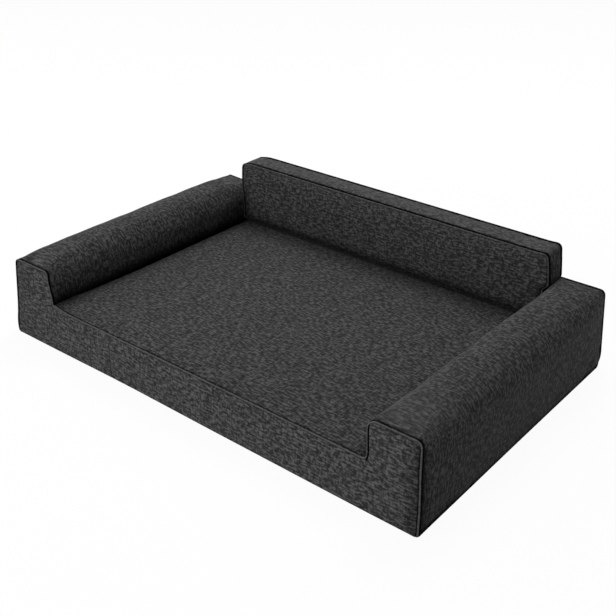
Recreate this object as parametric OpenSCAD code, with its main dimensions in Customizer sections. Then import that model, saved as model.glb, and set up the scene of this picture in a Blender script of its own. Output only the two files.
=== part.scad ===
// Sofa-shaped dog bed: foam blocks in a sewn cover, with two arms and a lift-off back cushion.
// Millimetres, +Z up, front towards -Y. The origin is the middle of the underside.

/* [Whole bed] */
// Width over the tops of the arms
bed_w = 1118; // [960:1:1300]
// Depth over the tops of the arms
bed_d = 711; // [600:1:820]
// How far each side stands out at the floor
side_flare = 10; // [4:1:16]
// How far the front and the rear stand out at the floor
end_flare = 13; // [6:1:18]

/* [Arms] */
// Height of the arms' end seams above the floor
arm_h = 191; // [175:1:220]
// Thickness of each arm at its end seams
arm_w = 114; // [104:1:140]
// Rounding along the outer top edge of an arm, away from its end seams
arm_round_out = 45; // [14:1:48]
// Rounding along the inner top edge of an arm, away from its end seams
arm_round_in = 50; // [14:1:52]
// How far the top of an arm swells above its end seams
arm_top_puff = 12.5; // [0:0.5:15]
// How far the outer side of an arm swells
arm_side_puff = 10; // [0:0.5:12]
// How far an arm swells over the sleeping surface
arm_inner_puff = 8; // [0:0.5:9]
// Distance from its end seams over which an arm reaches its full form
arm_settle = 180; // [60:5:240]

/* [Sleeping surface] */
// Height of the sleeping surface at its front seam
seat_h = 108; // [102:1:120]
// How far the middle of the sleeping surface stands above its seams
seat_crown = 8; // [2:0.5:12]
// How far the sleeping surface is drawn down where it meets the arms
crease_dip = 11; // [2:0.5:12]
// Distance from the front over which that crease deepens
crease_run = 336; // [60:4:400]
// Distance from an arm over which the sleeping surface is drawn down
crease_reach = 28; // [18:1:40]

/* [Back cushion] */
// Height of the back cushion's top above the floor
back_h = 270; // [245:1:310]
// Thickness of the back cushion between its two faces
back_t = 65; // [55:1:80]
// Gap between the back cushion and each arm
back_gap = 2.5; // [2.4:0.1:4]
// How far the front face of the back cushion swells
back_puff = 7; // [2:0.5:10]
// How far the top of the back cushion swells
band_puff = 3; // [0:0.5:5]
// Corner radius of the back cushion's faces
back_corner = 9; // [7:0.5:14]

/* [Cover and seams] */
// Thickness of the cover fabric with its backing
cover_t = 2; // [1.5:0.1:2.5]
// Thickness of the non-slip fabric underneath
floor_t = 2; // [1.5:0.1:3]
// Corner radius of the underside, seen from above
floor_corner = 12; // [8:1:20]
// Diameter of the turned seam that edges each face
seam_d = 5; // [4:0.5:6]
// How far that seam stands out of the fabric beside it
seam_proud = 1; // [0.5:0.1:1.5]
// Outer top corner radius of the front and rear faces
corner_out = 11; // [8:0.5:14]
// Inner top corner radius of the front and rear faces
corner_in = 8; // [7:0.5:12]
// Distance of the sewn join in the front face from the left side
front_join = 321; // [200:1:420]
// Gap between the two pieces of fabric at that join
join_gap = 0.4; // [0.2:0.1:0.8]

/* [Filling] */
// Height of the firm foam block that fills the bottom of the bed
base_foam_h = 72; // [60:1:76]
// Thickness of the lining round that block
lining_t = 0.6; // [0.4:0.1:1]
// How far the foam of an arm keeps back from the cover at the seams
corner_give = 5; // [0:0.5:5]

/* [Fastenings] */
// Distance of each end of the zip in the rear face from the side of the bed
base_zip_in = 89; // [60:1:180]
// Height of that zip's centre above the floor
base_zip_h = 36; // [30:1:50]
// Distance of each end of the zip in the back cushion from its side
back_zip_in = 72.5; // [40:0.5:180]
// Height of that zip's centre above the cushion's underside
back_zip_h = 28; // [26:1:45]
// Width of the slot in the fabric over a zip
zip_slot = 11; // [10:0.5:13]
// Width of one zip tape
tape_w = 14; // [12:0.5:16]
// Thickness of a zip tape
tape_t = 0.8; // [0.6:0.1:1]
// Width of the closed zip chain
chain_w = 6; // [5:0.5:7]
// Thickness of the closed zip chain
chain_t = 1.8; // [1.5:0.1:1.9]
// Length of a zip stop
stop_l = 3; // [2:0.5:5]
// Length of a slider
slider_l = 14; // [12:0.5:18]
// Thickness of a slider's top plate
slider_t = 1.4; // [1.2:0.1:1.8]
// Thickness of a slider's side flanges and ears
flange_t = 1.1; // [0.9:0.1:1.3]
// Length of a pull tab from its hinge
pull_l = 30; // [22:1:40]
// Width of a pull tab
pull_w = 7; // [6:0.5:9]
// Thickness of a pull tab
pull_t = 1.4; // [1.2:0.1:1.8]
// Width of a pull tab's neck between the ears
neck_w = 3.2; // [2.8:0.1:3.6]
// Radius of a pull tab's hinge pin
pin_r = 0.7; // [0.6:0.05:0.8]
// Running clearance round that pin
pin_gap = 0.08; // [0.05:0.01:0.1]
// Number of hook and loop patches
patch_n = 3; // [2:1:4]
// Length of a hook or loop patch
patch_l = 160; // [100:5:180]
// Width of a hook or loop patch
patch_w = 30; // [20:1:36]
// Thickness of a hook or loop patch
patch_t = 1.2; // [0.8:0.1:1.6]

/* [Clearances] */
// Gap between sewn or stacked pieces that stay together
fit_gap = 0.2; // [0.1:0.05:0.3]
// Gap between pieces that move against each other
move_gap = 0.3; // [0.25:0.05:0.5]

/* [Hidden] */
$fn = 48;

charcoal = [0.21, 0.21, 0.215];
seam_grey = [0.16, 0.16, 0.165];
black = [0.07, 0.07, 0.075];
foam_white = [0.87, 0.86, 0.82];
foam_blue = [0.62, 0.71, 0.78];
lining_grey = [0.6, 0.6, 0.6];
metal_grey = [0.3, 0.3, 0.31];

seam_r = seam_d / 2;
// Depth of a seam's centre line inside the fabric's outer face
seam_axis = seam_r - seam_proud;
// Depth inside the outer face at which the fabric beside a seam begins
seam_in = seam_d - seam_proud + fit_gap;
// Depth of a filling inside the outer face, along its sides and at its ends
skin_in = cover_t + fit_gap;
end_in = seam_in + fit_gap;

inner_x = bed_w / 2 - arm_w;
end_lean = atan(end_flare / arm_h);
cover_low = floor_t + fit_gap;
lining_low = floor_t + fit_gap;
foam_low = lining_low + lining_t + fit_gap;
foam_high = foam_low + base_foam_h;
lining_high = foam_high + fit_gap + lining_t;
stack_low = lining_high + fit_gap;

back_low = seat_h + 2 * patch_t + move_gap;
back_x = inner_x - back_gap;
back_y = bed_d / 2 - back_t;
base_zip_l = bed_w - 2 * base_zip_in;
back_zip_l = 2 * (back_x - back_zip_in);
// Front end of the stretch in which an arm and the sleeping surface keep clear of the back cushion
clear_y = back_y - back_puff - crease_reach / 4;

sweep_steps = 4;
seam_sides = 8;

// Half width and half depth of the bed at a height
function side_at(z) = bed_w / 2 + side_flare * (1 - z / arm_h);
function end_at(z) = bed_d / 2 + end_flare * (1 - z / arm_h);
// Distance up the leaning front or rear face at a height
function up_face(z) = z / cos(end_lean);

function lerp(a, b, t) = a + (b - a) * t;
function clamp01(t) = max(0, min(1, t));
function ease(t) = sin(90 * clamp01(t));
// 0 at both ends of a span and nearly 1 across its middle
function bow(t) = 1 - pow(2 * clamp01(t) - 1, 4);
function unit(v) = v / norm(v);
// n steps from a to b, close together at both ends
function spread(a, b, n) = [for (k = [0 : n]) lerp(a, b, (1 - cos(180 * k / n)) / 2)];
function steps(a, b, n) = [for (k = [1 : n]) lerp(a, b, k / n)];

// Arc of radius r in the corner p between its neighbours a and b
function corner_arc(a, p, b, r) =
    let (
        u = unit(a - p),
        v = unit(b - p),
        open = acos(u * v),
        centre = p + unit(u + v) * r / sin(open / 2),
        from = p + u * r / tan(open / 2) - centre,
        to = p + v * r / tan(open / 2) - centre,
        turn = 180 - open)
    [for (k = [0 : sweep_steps])
        let (t = k / sweep_steps)
        centre + (from * sin((1 - t) * turn) + to * sin(t * turn)) / sin(turn)];

// Outline through corners [x, z, radius]
function rounded(c, closed = false) = [
    for (i = [0 : len(c) - 1])
        let (p = [c[i][0], c[i][1]], n = len(c), a = c[(i + n - 1) % n], b = c[(i + 1) % n])
        each (!closed && (i == 0 || i == n - 1)) || c[i][2] <= 0
            ? [p] : corner_arc([a[0], a[1]], p, [b[0], b[1]], c[i][2])];

// Corners of the stepped front and rear outline, drawn in by a depth
function end_corners(depth) =
    let (half = [
        [side_at(cover_low) - depth, cover_low, 0],
        [bed_w / 2 - depth, arm_h - depth, corner_out - depth],
        [inner_x + depth, arm_h - depth, corner_in - depth],
        [inner_x + depth, seat_h - depth, 0]])
    concat([for (c = half) [-c[0], c[1], c[2]]], [for (i = [3 : -1 : 0]) half[i]]);

// Corners of the back cushion's faces, drawn in by a depth
function back_corners(depth, r) =
    let (x = back_x - depth, low = back_low + depth, high = back_h - depth)
    [[-x, low, r], [-x, high, r], [x, high, r], [x, low, r]];

// Height of the sleeping surface
function seat_z(x, y) =
    let (
        front = -end_at(seat_h),
        in_from_arm = inner_x - abs(x),
        dip = crease_dip * (1 - ease(in_from_arm / crease_reach)) * ease((y - front) / crease_run))
    seat_h - dip + seat_crown * bow((x + inner_x) / (2 * inner_x)) * bow((y - front) / (clear_y - front));

// 0 at an arm's end seams and 1 where it has its full form
function settle_at(v) =
    let (from_end = 2 * min(v, 1 - v) * (end_at(arm_h) - seam_in))
    1 - pow(1 - clamp01(from_end / arm_settle), 2.5);

// Point of an arm's outline: stretch 0 outer side, 1 outer rounding, 2 top, 3 inner rounding, 4 inner
// side, 5 hem beside the sleeping surface. t runs along the stretch and v along the arm, and depth
// goes in from the fabric's outer face
function arm_point(stretch, t, v, depth) =
    let (
        along = lerp(-1, 1, v),
        span = end_at(arm_h) - seam_in,
        settle = settle_at(v),
        r_out = lerp(corner_out, arm_round_out, settle),
        r_in = lerp(corner_in, arm_round_in, settle),
        side_puff = arm_side_puff * settle,
        over_seat = arm_inner_puff * bow((span * along + span) / (clear_y + span)),
        top = arm_h + arm_top_puff * settle,
        z_out = top - r_out,
        x_out = side_at(z_out) + side_puff - r_out,
        z_in = top - r_in,
        x_in = inner_x - over_seat / 2 + r_in,
        hem_z = seat_z(inner_x, along * (end_at(seat_h) - seam_in)) + fit_gap,
        z_side = lerp(cover_low, z_out, t),
        inner_swell = over_seat * ((1 - t * t * t) / 2 + 3 * t * t * (1 - t)),
        p = stretch == 0 ? [side_at(z_side) + side_puff * t * (2 - t) - depth, z_side]
            : stretch == 1 ? [x_out, z_out] + max(r_out - depth, fit_gap) * [cos(90 * t), sin(90 * t)]
            : stretch == 2 ? [lerp(x_out, x_in, t), top - depth]
            : stretch == 3 ? [x_in, z_in] + max(r_in - depth, fit_gap) * [-sin(90 * t), cos(90 * t)]
            : stretch == 4 ? [inner_x + depth - inner_swell, lerp(z_in, hem_z, t)]
            : [inner_x + depth, hem_z - cover_t])
    [p[0], along * (end_at(p[1]) - seam_in), p[1]];

// Stations over the top of an arm, as stretch and place in it, and stations along an arm
arm_over = [
    for (t = [0 : 0.2 : 0.9]) [1, t],
    for (t = [0 : 0.5 : 0.9]) [2, t],
    for (t = [0 : 0.2 : 1.01]) [3, t]];
arm_along = spread(0, 1, 12);

// Closed solid between two surfaces over a grid of cells; a loop joins its last column to its first
module skin(us, vs, outer, inner, loop = false) {
    nu = len(us);
    nv = len(vs);
    cells = loop ? nu : nu - 1;
    back = nu * nv;
    id = function(i, j) (i % nu) * nv + j;
    quad = function(a, b, c, d) [[a, b, c], [a, c, d]];
    points = concat([for (u = us, v = vs) outer(u, v)], [for (u = us, v = vs) inner(u, v)]);
    faces = [for (i = [0 : cells - 1], j = [0 : nv - 2])
        let (a = id(i, j), b = id(i + 1, j), c = id(i + 1, j + 1), d = id(i, j + 1))
        each concat(
            quad(a, b, c, d),
            quad(back + a, back + d, back + c, back + b),
            j == 0 ? quad(b, a, back + a, back + b) : [],
            j == nv - 2 ? quad(d, c, back + c, back + d) : [],
            i == 0 && !loop ? quad(a, d, back + d, back + a) : [],
            i == cells - 1 && !loop ? quad(c, b, back + b, back + c) : [])];
    polyhedron(points, faces);
}

// Solid through rings of points, with flat ends; closed joins the last ring to the first
module loft(rings, closed = false) {
    n = len(rings);
    ring = len(rings[0]);
    sides = [for (i = [0 : (closed ? n - 1 : n - 2)], k = [0 : ring - 1])
        let (a = i * ring + k, b = i * ring + (k + 1) % ring, next = ((i + 1) % n - i) * ring)
        each [[a, b, b + next], [a, b + next, a + next]]];
    caps = closed ? [] : [
        [for (k = [ring - 1 : -1 : 0]) k],
        [for (k = [0 : ring - 1]) (n - 1) * ring + k]];
    polyhedron([for (r = rings) each r], concat(sides, caps));
}

// Round cord along points that lie in one plane, mitred at its corners; across is the plane's normal
module cord_along(path, r, across, closed = false) {
    n = len(path);
    step = function(i) unit(path[(i + 1) % n] - path[i]);
    before = function(i) step(closed ? (i + n - 1) % n : max(i - 1, 0));
    after = function(i) step(closed ? i : min(i, n - 2));
    rings = [for (i = [0 : n - 1])
        let (
            way = unit(before(i) + after(i)),
            stretch = 1 / (way * after(i)),
            beside = cross(across, way))
        [for (k = [0 : seam_sides - 1])
            let (a = 360 * (k + 0.5) / seam_sides)
            path[i] + r * (cos(a) * across + sin(a) * stretch * beside)]];
    loft(rings, closed);
}

// Block between two heights that follows the leaning sides, kept in from them by the given depths
module bed_block(low, high, side_depth, end_depth) {
    difference() {
        rotate([90, 0, 0]) translate([0, 0, -bed_d]) linear_extrude(2 * bed_d) polygon([
            [-side_at(low) + side_depth, low], [side_at(low) - side_depth, low],
            [side_at(high) - side_depth, high], [-side_at(high) + side_depth, high]]);
        past_ends(end_depth);
    }
}

// All that lies outside the leaning front and rear faces, starting a depth inside them
module past_ends(depth) {
    for (turn = [0, 180]) rotate([0, 0, turn])
        translate([0, end_at(0) - depth, 0]) rotate([end_lean, 0, 0])
            translate([-bed_w, 0, -bed_d]) cube([2 * bed_w, bed_d, 2 * bed_d]);
}

// Puts a piece drawn at the origin on the leaning rear face: +Y out of the face, +Z up it
module on_rear_face(z) {
    translate([0, end_at(0), 0]) rotate([end_lean, 0, 0]) translate([0, 0, up_face(z)]) children();
}

module on_front_face() {
    rotate([0, 0, 180]) on_rear_face(0) children();
}

module on_back_cushion_rear() {
    translate([0, bed_d / 2, back_low + back_zip_h]) children();
}

// Flat fabric in the XZ plane, its outer face at y = 0
module flat_cover(outline) {
    rotate([90, 0, 0]) linear_extrude(cover_t) polygon(outline);
}

module end_cover() {
    flat_cover([for (p = rounded(end_corners(seam_in))) [p[0], up_face(p[1])]]);
}

module zip_opening(length) {
    cut = length + 2 * (stop_l + 2 * fit_gap);
    translate([-cut / 2, -2 * cover_t, -zip_slot / 2]) cube([cut, 3 * cover_t, zip_slot]);
}

// Zip pieces are drawn at the origin, with the chain along X and +Y out of the fabric
tape_y = -skin_in;
chain_y = tape_y + chain_t;

module zip_tapes(length) {
    for (s = [-1, 1])
        translate([-length / 2 - 2 * stop_l, tape_y - tape_t, s > 0 ? fit_gap : -tape_w - fit_gap])
            cube([length + 4 * stop_l, tape_t, tape_w]);
}

module zip_chain(length) {
    translate([-length / 2, 0, 0]) rotate([0, 90, 0]) linear_extrude(length)
        polygon([
            [-chain_w / 2, tape_y], [chain_w / 2, tape_y], [chain_w / 2, chain_y - chain_t / 3],
            [chain_w / 3, chain_y], [-chain_w / 3, chain_y], [-chain_w / 2, chain_y - chain_t / 3]]);
}

module zip_stops(length) {
    for (s = [-1, 1])
        translate([s * (length / 2 + fit_gap + stop_l / 2), tape_y + chain_t / 2, 0])
            cube([stop_l, chain_t, chain_w], center = true);
}

plate_low = chain_y + move_gap;
plate_high = plate_low + slider_t;
flange_z = chain_w / 2 + move_gap;
slider_half = flange_z + flange_t;
eye_r = pin_r + pin_gap + slider_t / 3;
pin_y = plate_high + eye_r + move_gap;
ear_z = neck_w / 2 + move_gap;
ear_half = eye_r + pin_r;

module zip_slider() {
    nose = slider_l / 4;
    rotate([90, 0, 0]) translate([0, 0, -plate_high]) linear_extrude(slider_t) polygon([
        [-slider_l / 2, -slider_half], [slider_l / 2 - nose, -slider_half],
        [slider_l / 2, -slider_half + nose], [slider_l / 2, slider_half - nose],
        [slider_l / 2 - nose, slider_half], [-slider_l / 2, slider_half]]);
    for (s = [-1, 1]) {
        translate([-slider_l / 2, tape_y + move_gap, s > 0 ? flange_z : -slider_half])
            cube([slider_l * 3 / 4, plate_high - tape_y - move_gap, flange_t]);
        translate([0, 0, s > 0 ? ear_z : -ear_z - flange_t]) {
            translate([-ear_half, plate_low, 0]) cube([2 * ear_half, pin_y - plate_low, flange_t]);
            translate([0, pin_y, 0]) cylinder(r = ear_half, h = flange_t);
        }
    }
    translate([0, pin_y, -ear_z - flange_t / 2]) cylinder(r = pin_r, h = 2 * ear_z + flange_t);
}

module zip_pull() {
    neck_end = ear_half + move_gap + pin_r;
    difference() {
        union() {
            translate([0, pin_y, -neck_w / 2]) cylinder(r = eye_r, h = neck_w);
            translate([-neck_end - neck_w, pin_y - pull_t / 2, -neck_w / 2])
                cube([neck_end + neck_w, pull_t, neck_w]);
            translate([-pull_l + pull_w / 2, pin_y - pull_t / 2, -pull_w / 2])
                cube([pull_l - pull_w / 2 - neck_end, pull_t, pull_w]);
            translate([-pull_l + pull_w / 2, pin_y + pull_t / 2, 0]) rotate([90, 0, 0])
                cylinder(r = pull_w / 2, h = pull_t);
        }
        translate([0, pin_y, -neck_w]) cylinder(r = pin_r + pin_gap, h = 2 * neck_w);
    }
}

// A slider rests at the closed end of its zip, on the right seen from the front
function slider_rest(length) = length / 2 - slider_l / 2 - move_gap;

module bottom_panel() {
    x = side_at(0) - floor_corner;
    y = end_at(0) - floor_corner;
    color(black) linear_extrude(floor_t) {
        square([2 * x, 2 * end_at(0)], center = true);
        square([2 * side_at(0), 2 * y], center = true);
        for (sx = [-1, 1], sy = [-1, 1]) translate([sx * x, sy * y]) circle(floor_corner);
    }
}

module base_foam() {
    around = lining_t + fit_gap;
    color(foam_white) bed_block(foam_low, foam_high, skin_in + around, end_in + around);
}

module base_lining() {
    color(lining_grey) difference() {
        bed_block(lining_low, lining_high, skin_in, end_in);
        bed_block(lining_low + lining_t, lining_high - lining_t, skin_in + lining_t, end_in + lining_t);
    }
}

// Lines across and along the sleeping surface at which its height is set
function seat_across(x) = spread(x, -x, 16);
function seat_along(y) = concat(spread(-y, clear_y, 10), steps(clear_y, y, 2));

module comfort_foam() {
    top = function(u, v) [u, v, seat_z(u, v) - cover_t - 4 * fit_gap];
    color(foam_blue) skin(
        seat_across(inner_x - 2 * fit_gap), seat_along(end_at(seat_h) - end_in - cover_t),
        top, function(u, v) [u, v, stack_low]);
}

// The arm's foam fills its cover, but for the swell over the sleeping surface
module arm_foam_right() {
    ring = function(v)
        let (
            depth = skin_in + corner_give * (1 - settle_at(v)),
            x_in = inner_x + depth,
            point = function(x, z) [max(x, x_in), lerp(-1, 1, v) * (end_at(z) - end_in), z])
        [
            point(side_at(stack_low) - depth, stack_low),
            for (u = arm_over) let (p = arm_point(u[0], u[1], v, depth)) point(p[0], p[2]),
            point(x_in, stack_low)];
    color(foam_white) loft([for (v = arm_along) ring(v)]);
}

module arm_foam_left() {
    mirror([1, 0, 0]) arm_foam_right();
}

module front_half(from, to) {
    color(charcoal) intersection() {
        mirror([1, 0, 0]) on_front_face() end_cover();
        translate([from, -bed_d, 0]) cube([to - from, bed_d, arm_h]);
    }
}

join_x = front_join - bed_w / 2;

module front_panel_left() {
    front_half(-bed_w, join_x - join_gap / 2);
}

module front_panel_right() {
    front_half(join_x + join_gap / 2, bed_w);
}

module rear_panel() {
    color(charcoal) difference() {
        on_rear_face(0) end_cover();
        on_rear_face(base_zip_h) zip_opening(base_zip_l);
    }
}

module seat_panel() {
    top = function(u, v) [u, v, seat_z(u, v)];
    color(charcoal) skin(
        seat_across(inner_x - fit_gap), seat_along(end_at(seat_h) - seam_in),
        top, function(u, v) top(u, v) - [0, 0, cover_t]);
}

module arm_panel_right() {
    round_arm = [
        for (t = [0 : 0.25 : 0.9]) [0, t],
        each arm_over,
        for (t = [0.2 : 0.2 : 1.01]) [4, t],
        [5, 0]];
    color(charcoal) skin(
        round_arm, arm_along,
        function(u, v) arm_point(u[0], u[1], v, 0),
        function(u, v) arm_point(u[0], u[1], v, cover_t));
}

module arm_panel_left() {
    mirror([1, 0, 0]) arm_panel_right();
}

module end_seam(face) {
    path = [for (p = rounded(end_corners(seam_axis))) [p[0], face * (end_at(p[1]) - seam_axis), p[1]]];
    color(seam_grey) cord_along(path, seam_r, [0, -cos(end_lean), -face * sin(end_lean)]);
}

module front_seam() {
    end_seam(-1);
}

module rear_seam() {
    end_seam(1);
}

module patches(z) {
    pitch = 2 * (inner_x - crease_reach) / patch_n;
    color(black) for (k = [0 : patch_n - 1])
        translate([(k - (patch_n - 1) / 2) * pitch - patch_l / 2, back_y + (back_t - patch_w) / 2, z])
            cube([patch_l, patch_w, patch_t]);
}

module hook_patches() {
    patches(seat_h);
}

module loop_patches() {
    patches(back_low - patch_t);
}

module base_zip_tapes() {
    color(black) on_rear_face(base_zip_h) zip_tapes(base_zip_l);
}

module base_zip_chain() {
    color(black) on_rear_face(base_zip_h) zip_chain(base_zip_l);
}

module base_zip_stops() {
    color(metal_grey) on_rear_face(base_zip_h) zip_stops(base_zip_l);
}

module base_zip_slider() {
    color(metal_grey) on_rear_face(base_zip_h) translate([slider_rest(base_zip_l), 0, 0]) zip_slider();
}

module base_zip_pull() {
    color(metal_grey) on_rear_face(base_zip_h) translate([slider_rest(base_zip_l), 0, 0]) zip_pull();
}

module back_foam() {
    outline = rounded(back_corners(skin_in, back_corner), closed = true);
    color(foam_white) translate([0, bed_d / 2 - end_in, 0]) rotate([90, 0, 0])
        linear_extrude(back_t - 2 * end_in) polygon(outline);
}

// The front face swells between its seams, and its corners are rounded
module back_front_panel() {
    x = back_x - seam_in;
    r = back_corner - seam_in;
    arc = [for (a = [0 : 30 : 60]) x - r + r * cos(a)];
    low = back_low + seam_in;
    high = back_h - seam_in;
    face = function(u, v, depth)
        let (
            past = max(0, abs(u) - x + r),
            drop = r - sqrt(max(0, r * r - past * past)),
            swell = back_puff * bow((u + x) / (2 * x)) * sin(180 * v))
        [u, back_y + depth - swell, lerp(low + drop, high - drop, v)];
    color(charcoal) skin(
        concat(arc, spread(x - r, -x + r, 14), [for (i = [2 : -1 : 0]) -arc[i]]),
        [for (k = [0 : 8]) k / 8],
        function(u, v) face(u, v, 0),
        function(u, v) face(u, v, cover_t));
}

// Band of fabric round the back cushion, between its front and rear seams
module back_band() {
    r = back_corner;
    corner = function(x, z, a) [for (k = [0 : 3]) [x, z, a + 30 * k, 0]];
    x = back_x - r;
    low = back_low + r;
    high = back_h - r;
    spans = 12;
    ring = concat(
        corner(x, low, -90), corner(x, high, 0),
        [for (k = [1 : spans - 1]) [lerp(x, -x, k / spans), high, 90, bow(k / spans)]],
        corner(-x, high, 90), corner(-x, low, 180),
        [for (k = [1 : spans - 1]) [lerp(-x, x, k / spans), low, 270, 0]]);
    front = back_y + seam_in;
    rear = bed_d / 2 - seam_in;
    band = function(u, v, depth)
        let (out = r - depth + band_puff * u[3] * sin(180 * (v - front) / (rear - front)))
        [u[0] + out * cos(u[2]), v, u[1] + out * sin(u[2])];
    color(charcoal) skin(
        ring, [for (k = [0 : 4]) lerp(front, rear, k / 4)],
        function(u, v) band(u, v, 0),
        function(u, v) band(u, v, cover_t), loop = true);
}

module back_rear_panel() {
    color(charcoal) difference() {
        translate([0, bed_d / 2, 0])
            flat_cover(rounded(back_corners(seam_in, back_corner - seam_in), closed = true));
        on_back_cushion_rear() zip_opening(back_zip_l);
    }
}

module back_seam(y) {
    outline = rounded(back_corners(seam_axis, back_corner - seam_axis), closed = true);
    path = [for (p = outline) [p[0], y, p[1]]];
    color(seam_grey) cord_along(path, seam_r, [0, 1, 0], closed = true);
}

module back_front_seam() {
    back_seam(back_y + seam_axis);
}

module back_rear_seam() {
    back_seam(bed_d / 2 - seam_axis);
}

module back_zip_tapes() {
    color(black) on_back_cushion_rear() zip_tapes(back_zip_l);
}

module back_zip_chain() {
    color(black) on_back_cushion_rear() zip_chain(back_zip_l);
}

module back_zip_stops() {
    color(metal_grey) on_back_cushion_rear() zip_stops(back_zip_l);
}

module back_zip_slider() {
    color(metal_grey) on_back_cushion_rear() translate([slider_rest(back_zip_l), 0, 0]) zip_slider();
}

module back_zip_pull() {
    color(metal_grey) on_back_cushion_rear() translate([slider_rest(back_zip_l), 0, 0]) zip_pull();
}

bottom_panel();
base_foam();
base_lining();
comfort_foam();
arm_foam_left();
arm_foam_right();
front_panel_left();
front_panel_right();
rear_panel();
seat_panel();
arm_panel_left();
arm_panel_right();
front_seam();
rear_seam();
hook_patches();
base_zip_tapes();
base_zip_chain();
base_zip_stops();
base_zip_slider();
base_zip_pull();
back_foam();
back_front_panel();
back_band();
back_rear_panel();
back_front_seam();
back_rear_seam();
loop_patches();
back_zip_tapes();
back_zip_chain();
back_zip_stops();
back_zip_slider();
back_zip_pull();
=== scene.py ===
"""Sofa-shaped dog bed: sewn tweed covers, turned seams, zips and grip dots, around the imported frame."""

import math
from contextlib import contextmanager
from functools import lru_cache

import bpy
import numpy as np
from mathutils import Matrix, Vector


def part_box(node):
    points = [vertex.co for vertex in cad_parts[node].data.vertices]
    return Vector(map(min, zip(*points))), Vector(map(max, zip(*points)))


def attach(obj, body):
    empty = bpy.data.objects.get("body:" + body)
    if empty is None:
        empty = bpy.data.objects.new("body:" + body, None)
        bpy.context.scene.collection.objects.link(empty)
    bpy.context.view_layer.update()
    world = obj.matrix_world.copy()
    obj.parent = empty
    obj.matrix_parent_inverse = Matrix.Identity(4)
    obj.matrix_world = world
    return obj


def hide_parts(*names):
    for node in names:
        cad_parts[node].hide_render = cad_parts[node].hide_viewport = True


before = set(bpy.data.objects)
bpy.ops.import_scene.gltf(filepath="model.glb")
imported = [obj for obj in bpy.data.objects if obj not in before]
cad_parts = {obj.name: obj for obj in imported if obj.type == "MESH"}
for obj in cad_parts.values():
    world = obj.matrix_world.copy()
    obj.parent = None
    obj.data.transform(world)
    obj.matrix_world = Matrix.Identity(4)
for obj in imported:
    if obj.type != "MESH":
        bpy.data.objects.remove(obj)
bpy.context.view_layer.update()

bl_info = {
    "name": "Dog bed covers",
    "version": (1, 0, 0),
    "blender": (4, 5, 0),
    "location": "View3D > Sidebar > Dog bed",
    "description": "Makes the tweed covers, seams, zips and stage of a sofa-shaped dog bed",
    "category": "Object",
}

MM = 0.001
FLOOR_WHITE = 0.95

# Construction, as the frame has it. Where it has no measure of its own, part.scad's value stands here
SEAM_R = 2.5 * MM
SEAM_PROUD = 1 * MM
SEAM_AXIS = SEAM_R - SEAM_PROUD
FIT_GAP = 0.2 * MM
COVER_T = 2 * MM
SIDE_FLARE = 10 * MM
END_FLARE = 13 * MM
HEM_Z = 0.4 * MM
ARM_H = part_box("front_seam")[1].z - SEAM_PROUD
SEAT_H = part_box("hook_patches")[0].z
INNER_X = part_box("seat_panel")[1].x + FIT_GAP
SIDE_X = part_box("bottom_panel")[1].x - SIDE_FLARE
END_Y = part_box("bottom_panel")[1].y - END_FLARE
BACK_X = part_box("back_rear_seam")[1].x - SEAM_PROUD
BACK_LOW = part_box("back_rear_seam")[0].z + SEAM_PROUD
BACK_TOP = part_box("back_rear_seam")[1].z - SEAM_PROUD
BACK_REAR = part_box("back_rear_seam")[1].y - SEAM_PROUD
BACK_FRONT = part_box("back_front_seam")[0].y + SEAM_PROUD
JOIN_X = (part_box("front_panel_left")[1].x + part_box("front_panel_right")[0].x) / 2
LEAN = math.atan(END_FLARE / ARM_H)
BASE_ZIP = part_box("base_zip_chain")
BACK_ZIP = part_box("back_zip_chain")
ZIP_SLOT = 11 * MM
STOP_L = 3 * MM
TAPE_OUT = -2.2 * MM
CHAIN_T = 1.8 * MM
CHAIN_W = 6 * MM
TOOTH_PITCH = 1.5 * MM
GRIP_Z = 0.9 * MM
DOT_R = 3 * MM
DOT_MARGIN = 30 * MM

# Sewing: how far a cover's border lies from its face's outline, the radii of turned borders, how far
# cells are smaller beside them, the places of stitches beside a seam and of the rows beside the front
# join, and half the join's gap
EDGE = 3.6 * MM
ROLL = 3 * MM
HEM_ROLL = 1 * MM
GRADED = ROLL + 10 * MM
SEWN_IN = 0.9 * MM
SEWN_BESIDE = 5.3 * MM
JOIN_ROWS = (10 * MM, 17 * MM)
JOIN_GAP = 0.05 * MM

# Distance at which doubled points are merged in a sheet and in a CAD copy, and the angle of a hard edge
WELD = 0.01 * MM
CAD_WELD = 0.005 * MM
SHARP = math.radians(35)

# Forms of the filled covers
CORNER_OUT = 11 * MM
CORNER_IN = 8 * MM
BACK_CORNER = 9 * MM
ROUND_OUT = 45 * MM
ROUND_IN = 50 * MM
ARM_SETTLE = 180 * MM
CREASE_DIP = 11 * MM
CREASE_REACH = 28 * MM
CREASE_RUN = 12 * CREASE_REACH
CLEAR_Y = BACK_FRONT - 14 * MM

# Painted shade at a cover's rim: its share, how far it stays, and over what distance it fades
SEAT_RIM = (0.92, 1.5 * MM, 3.5 * MM)
ARM_RIM = (0.98, 3 * MM, 5 * MM)
FACE_RIM = (0.55, 0, 3.5 * MM)
CUSHION_RIM = (0.1, 0, 3 * MM)
BAND_RIM = (0.99, 4.5 * MM, 5 * MM)


def length_property(name, description, value, low, high):
    """A length given in millimetres"""
    return bpy.props.FloatProperty(
        name=name, description=description, default=value * MM, min=low * MM, max=high * MM,
        unit="LENGTH")


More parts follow.
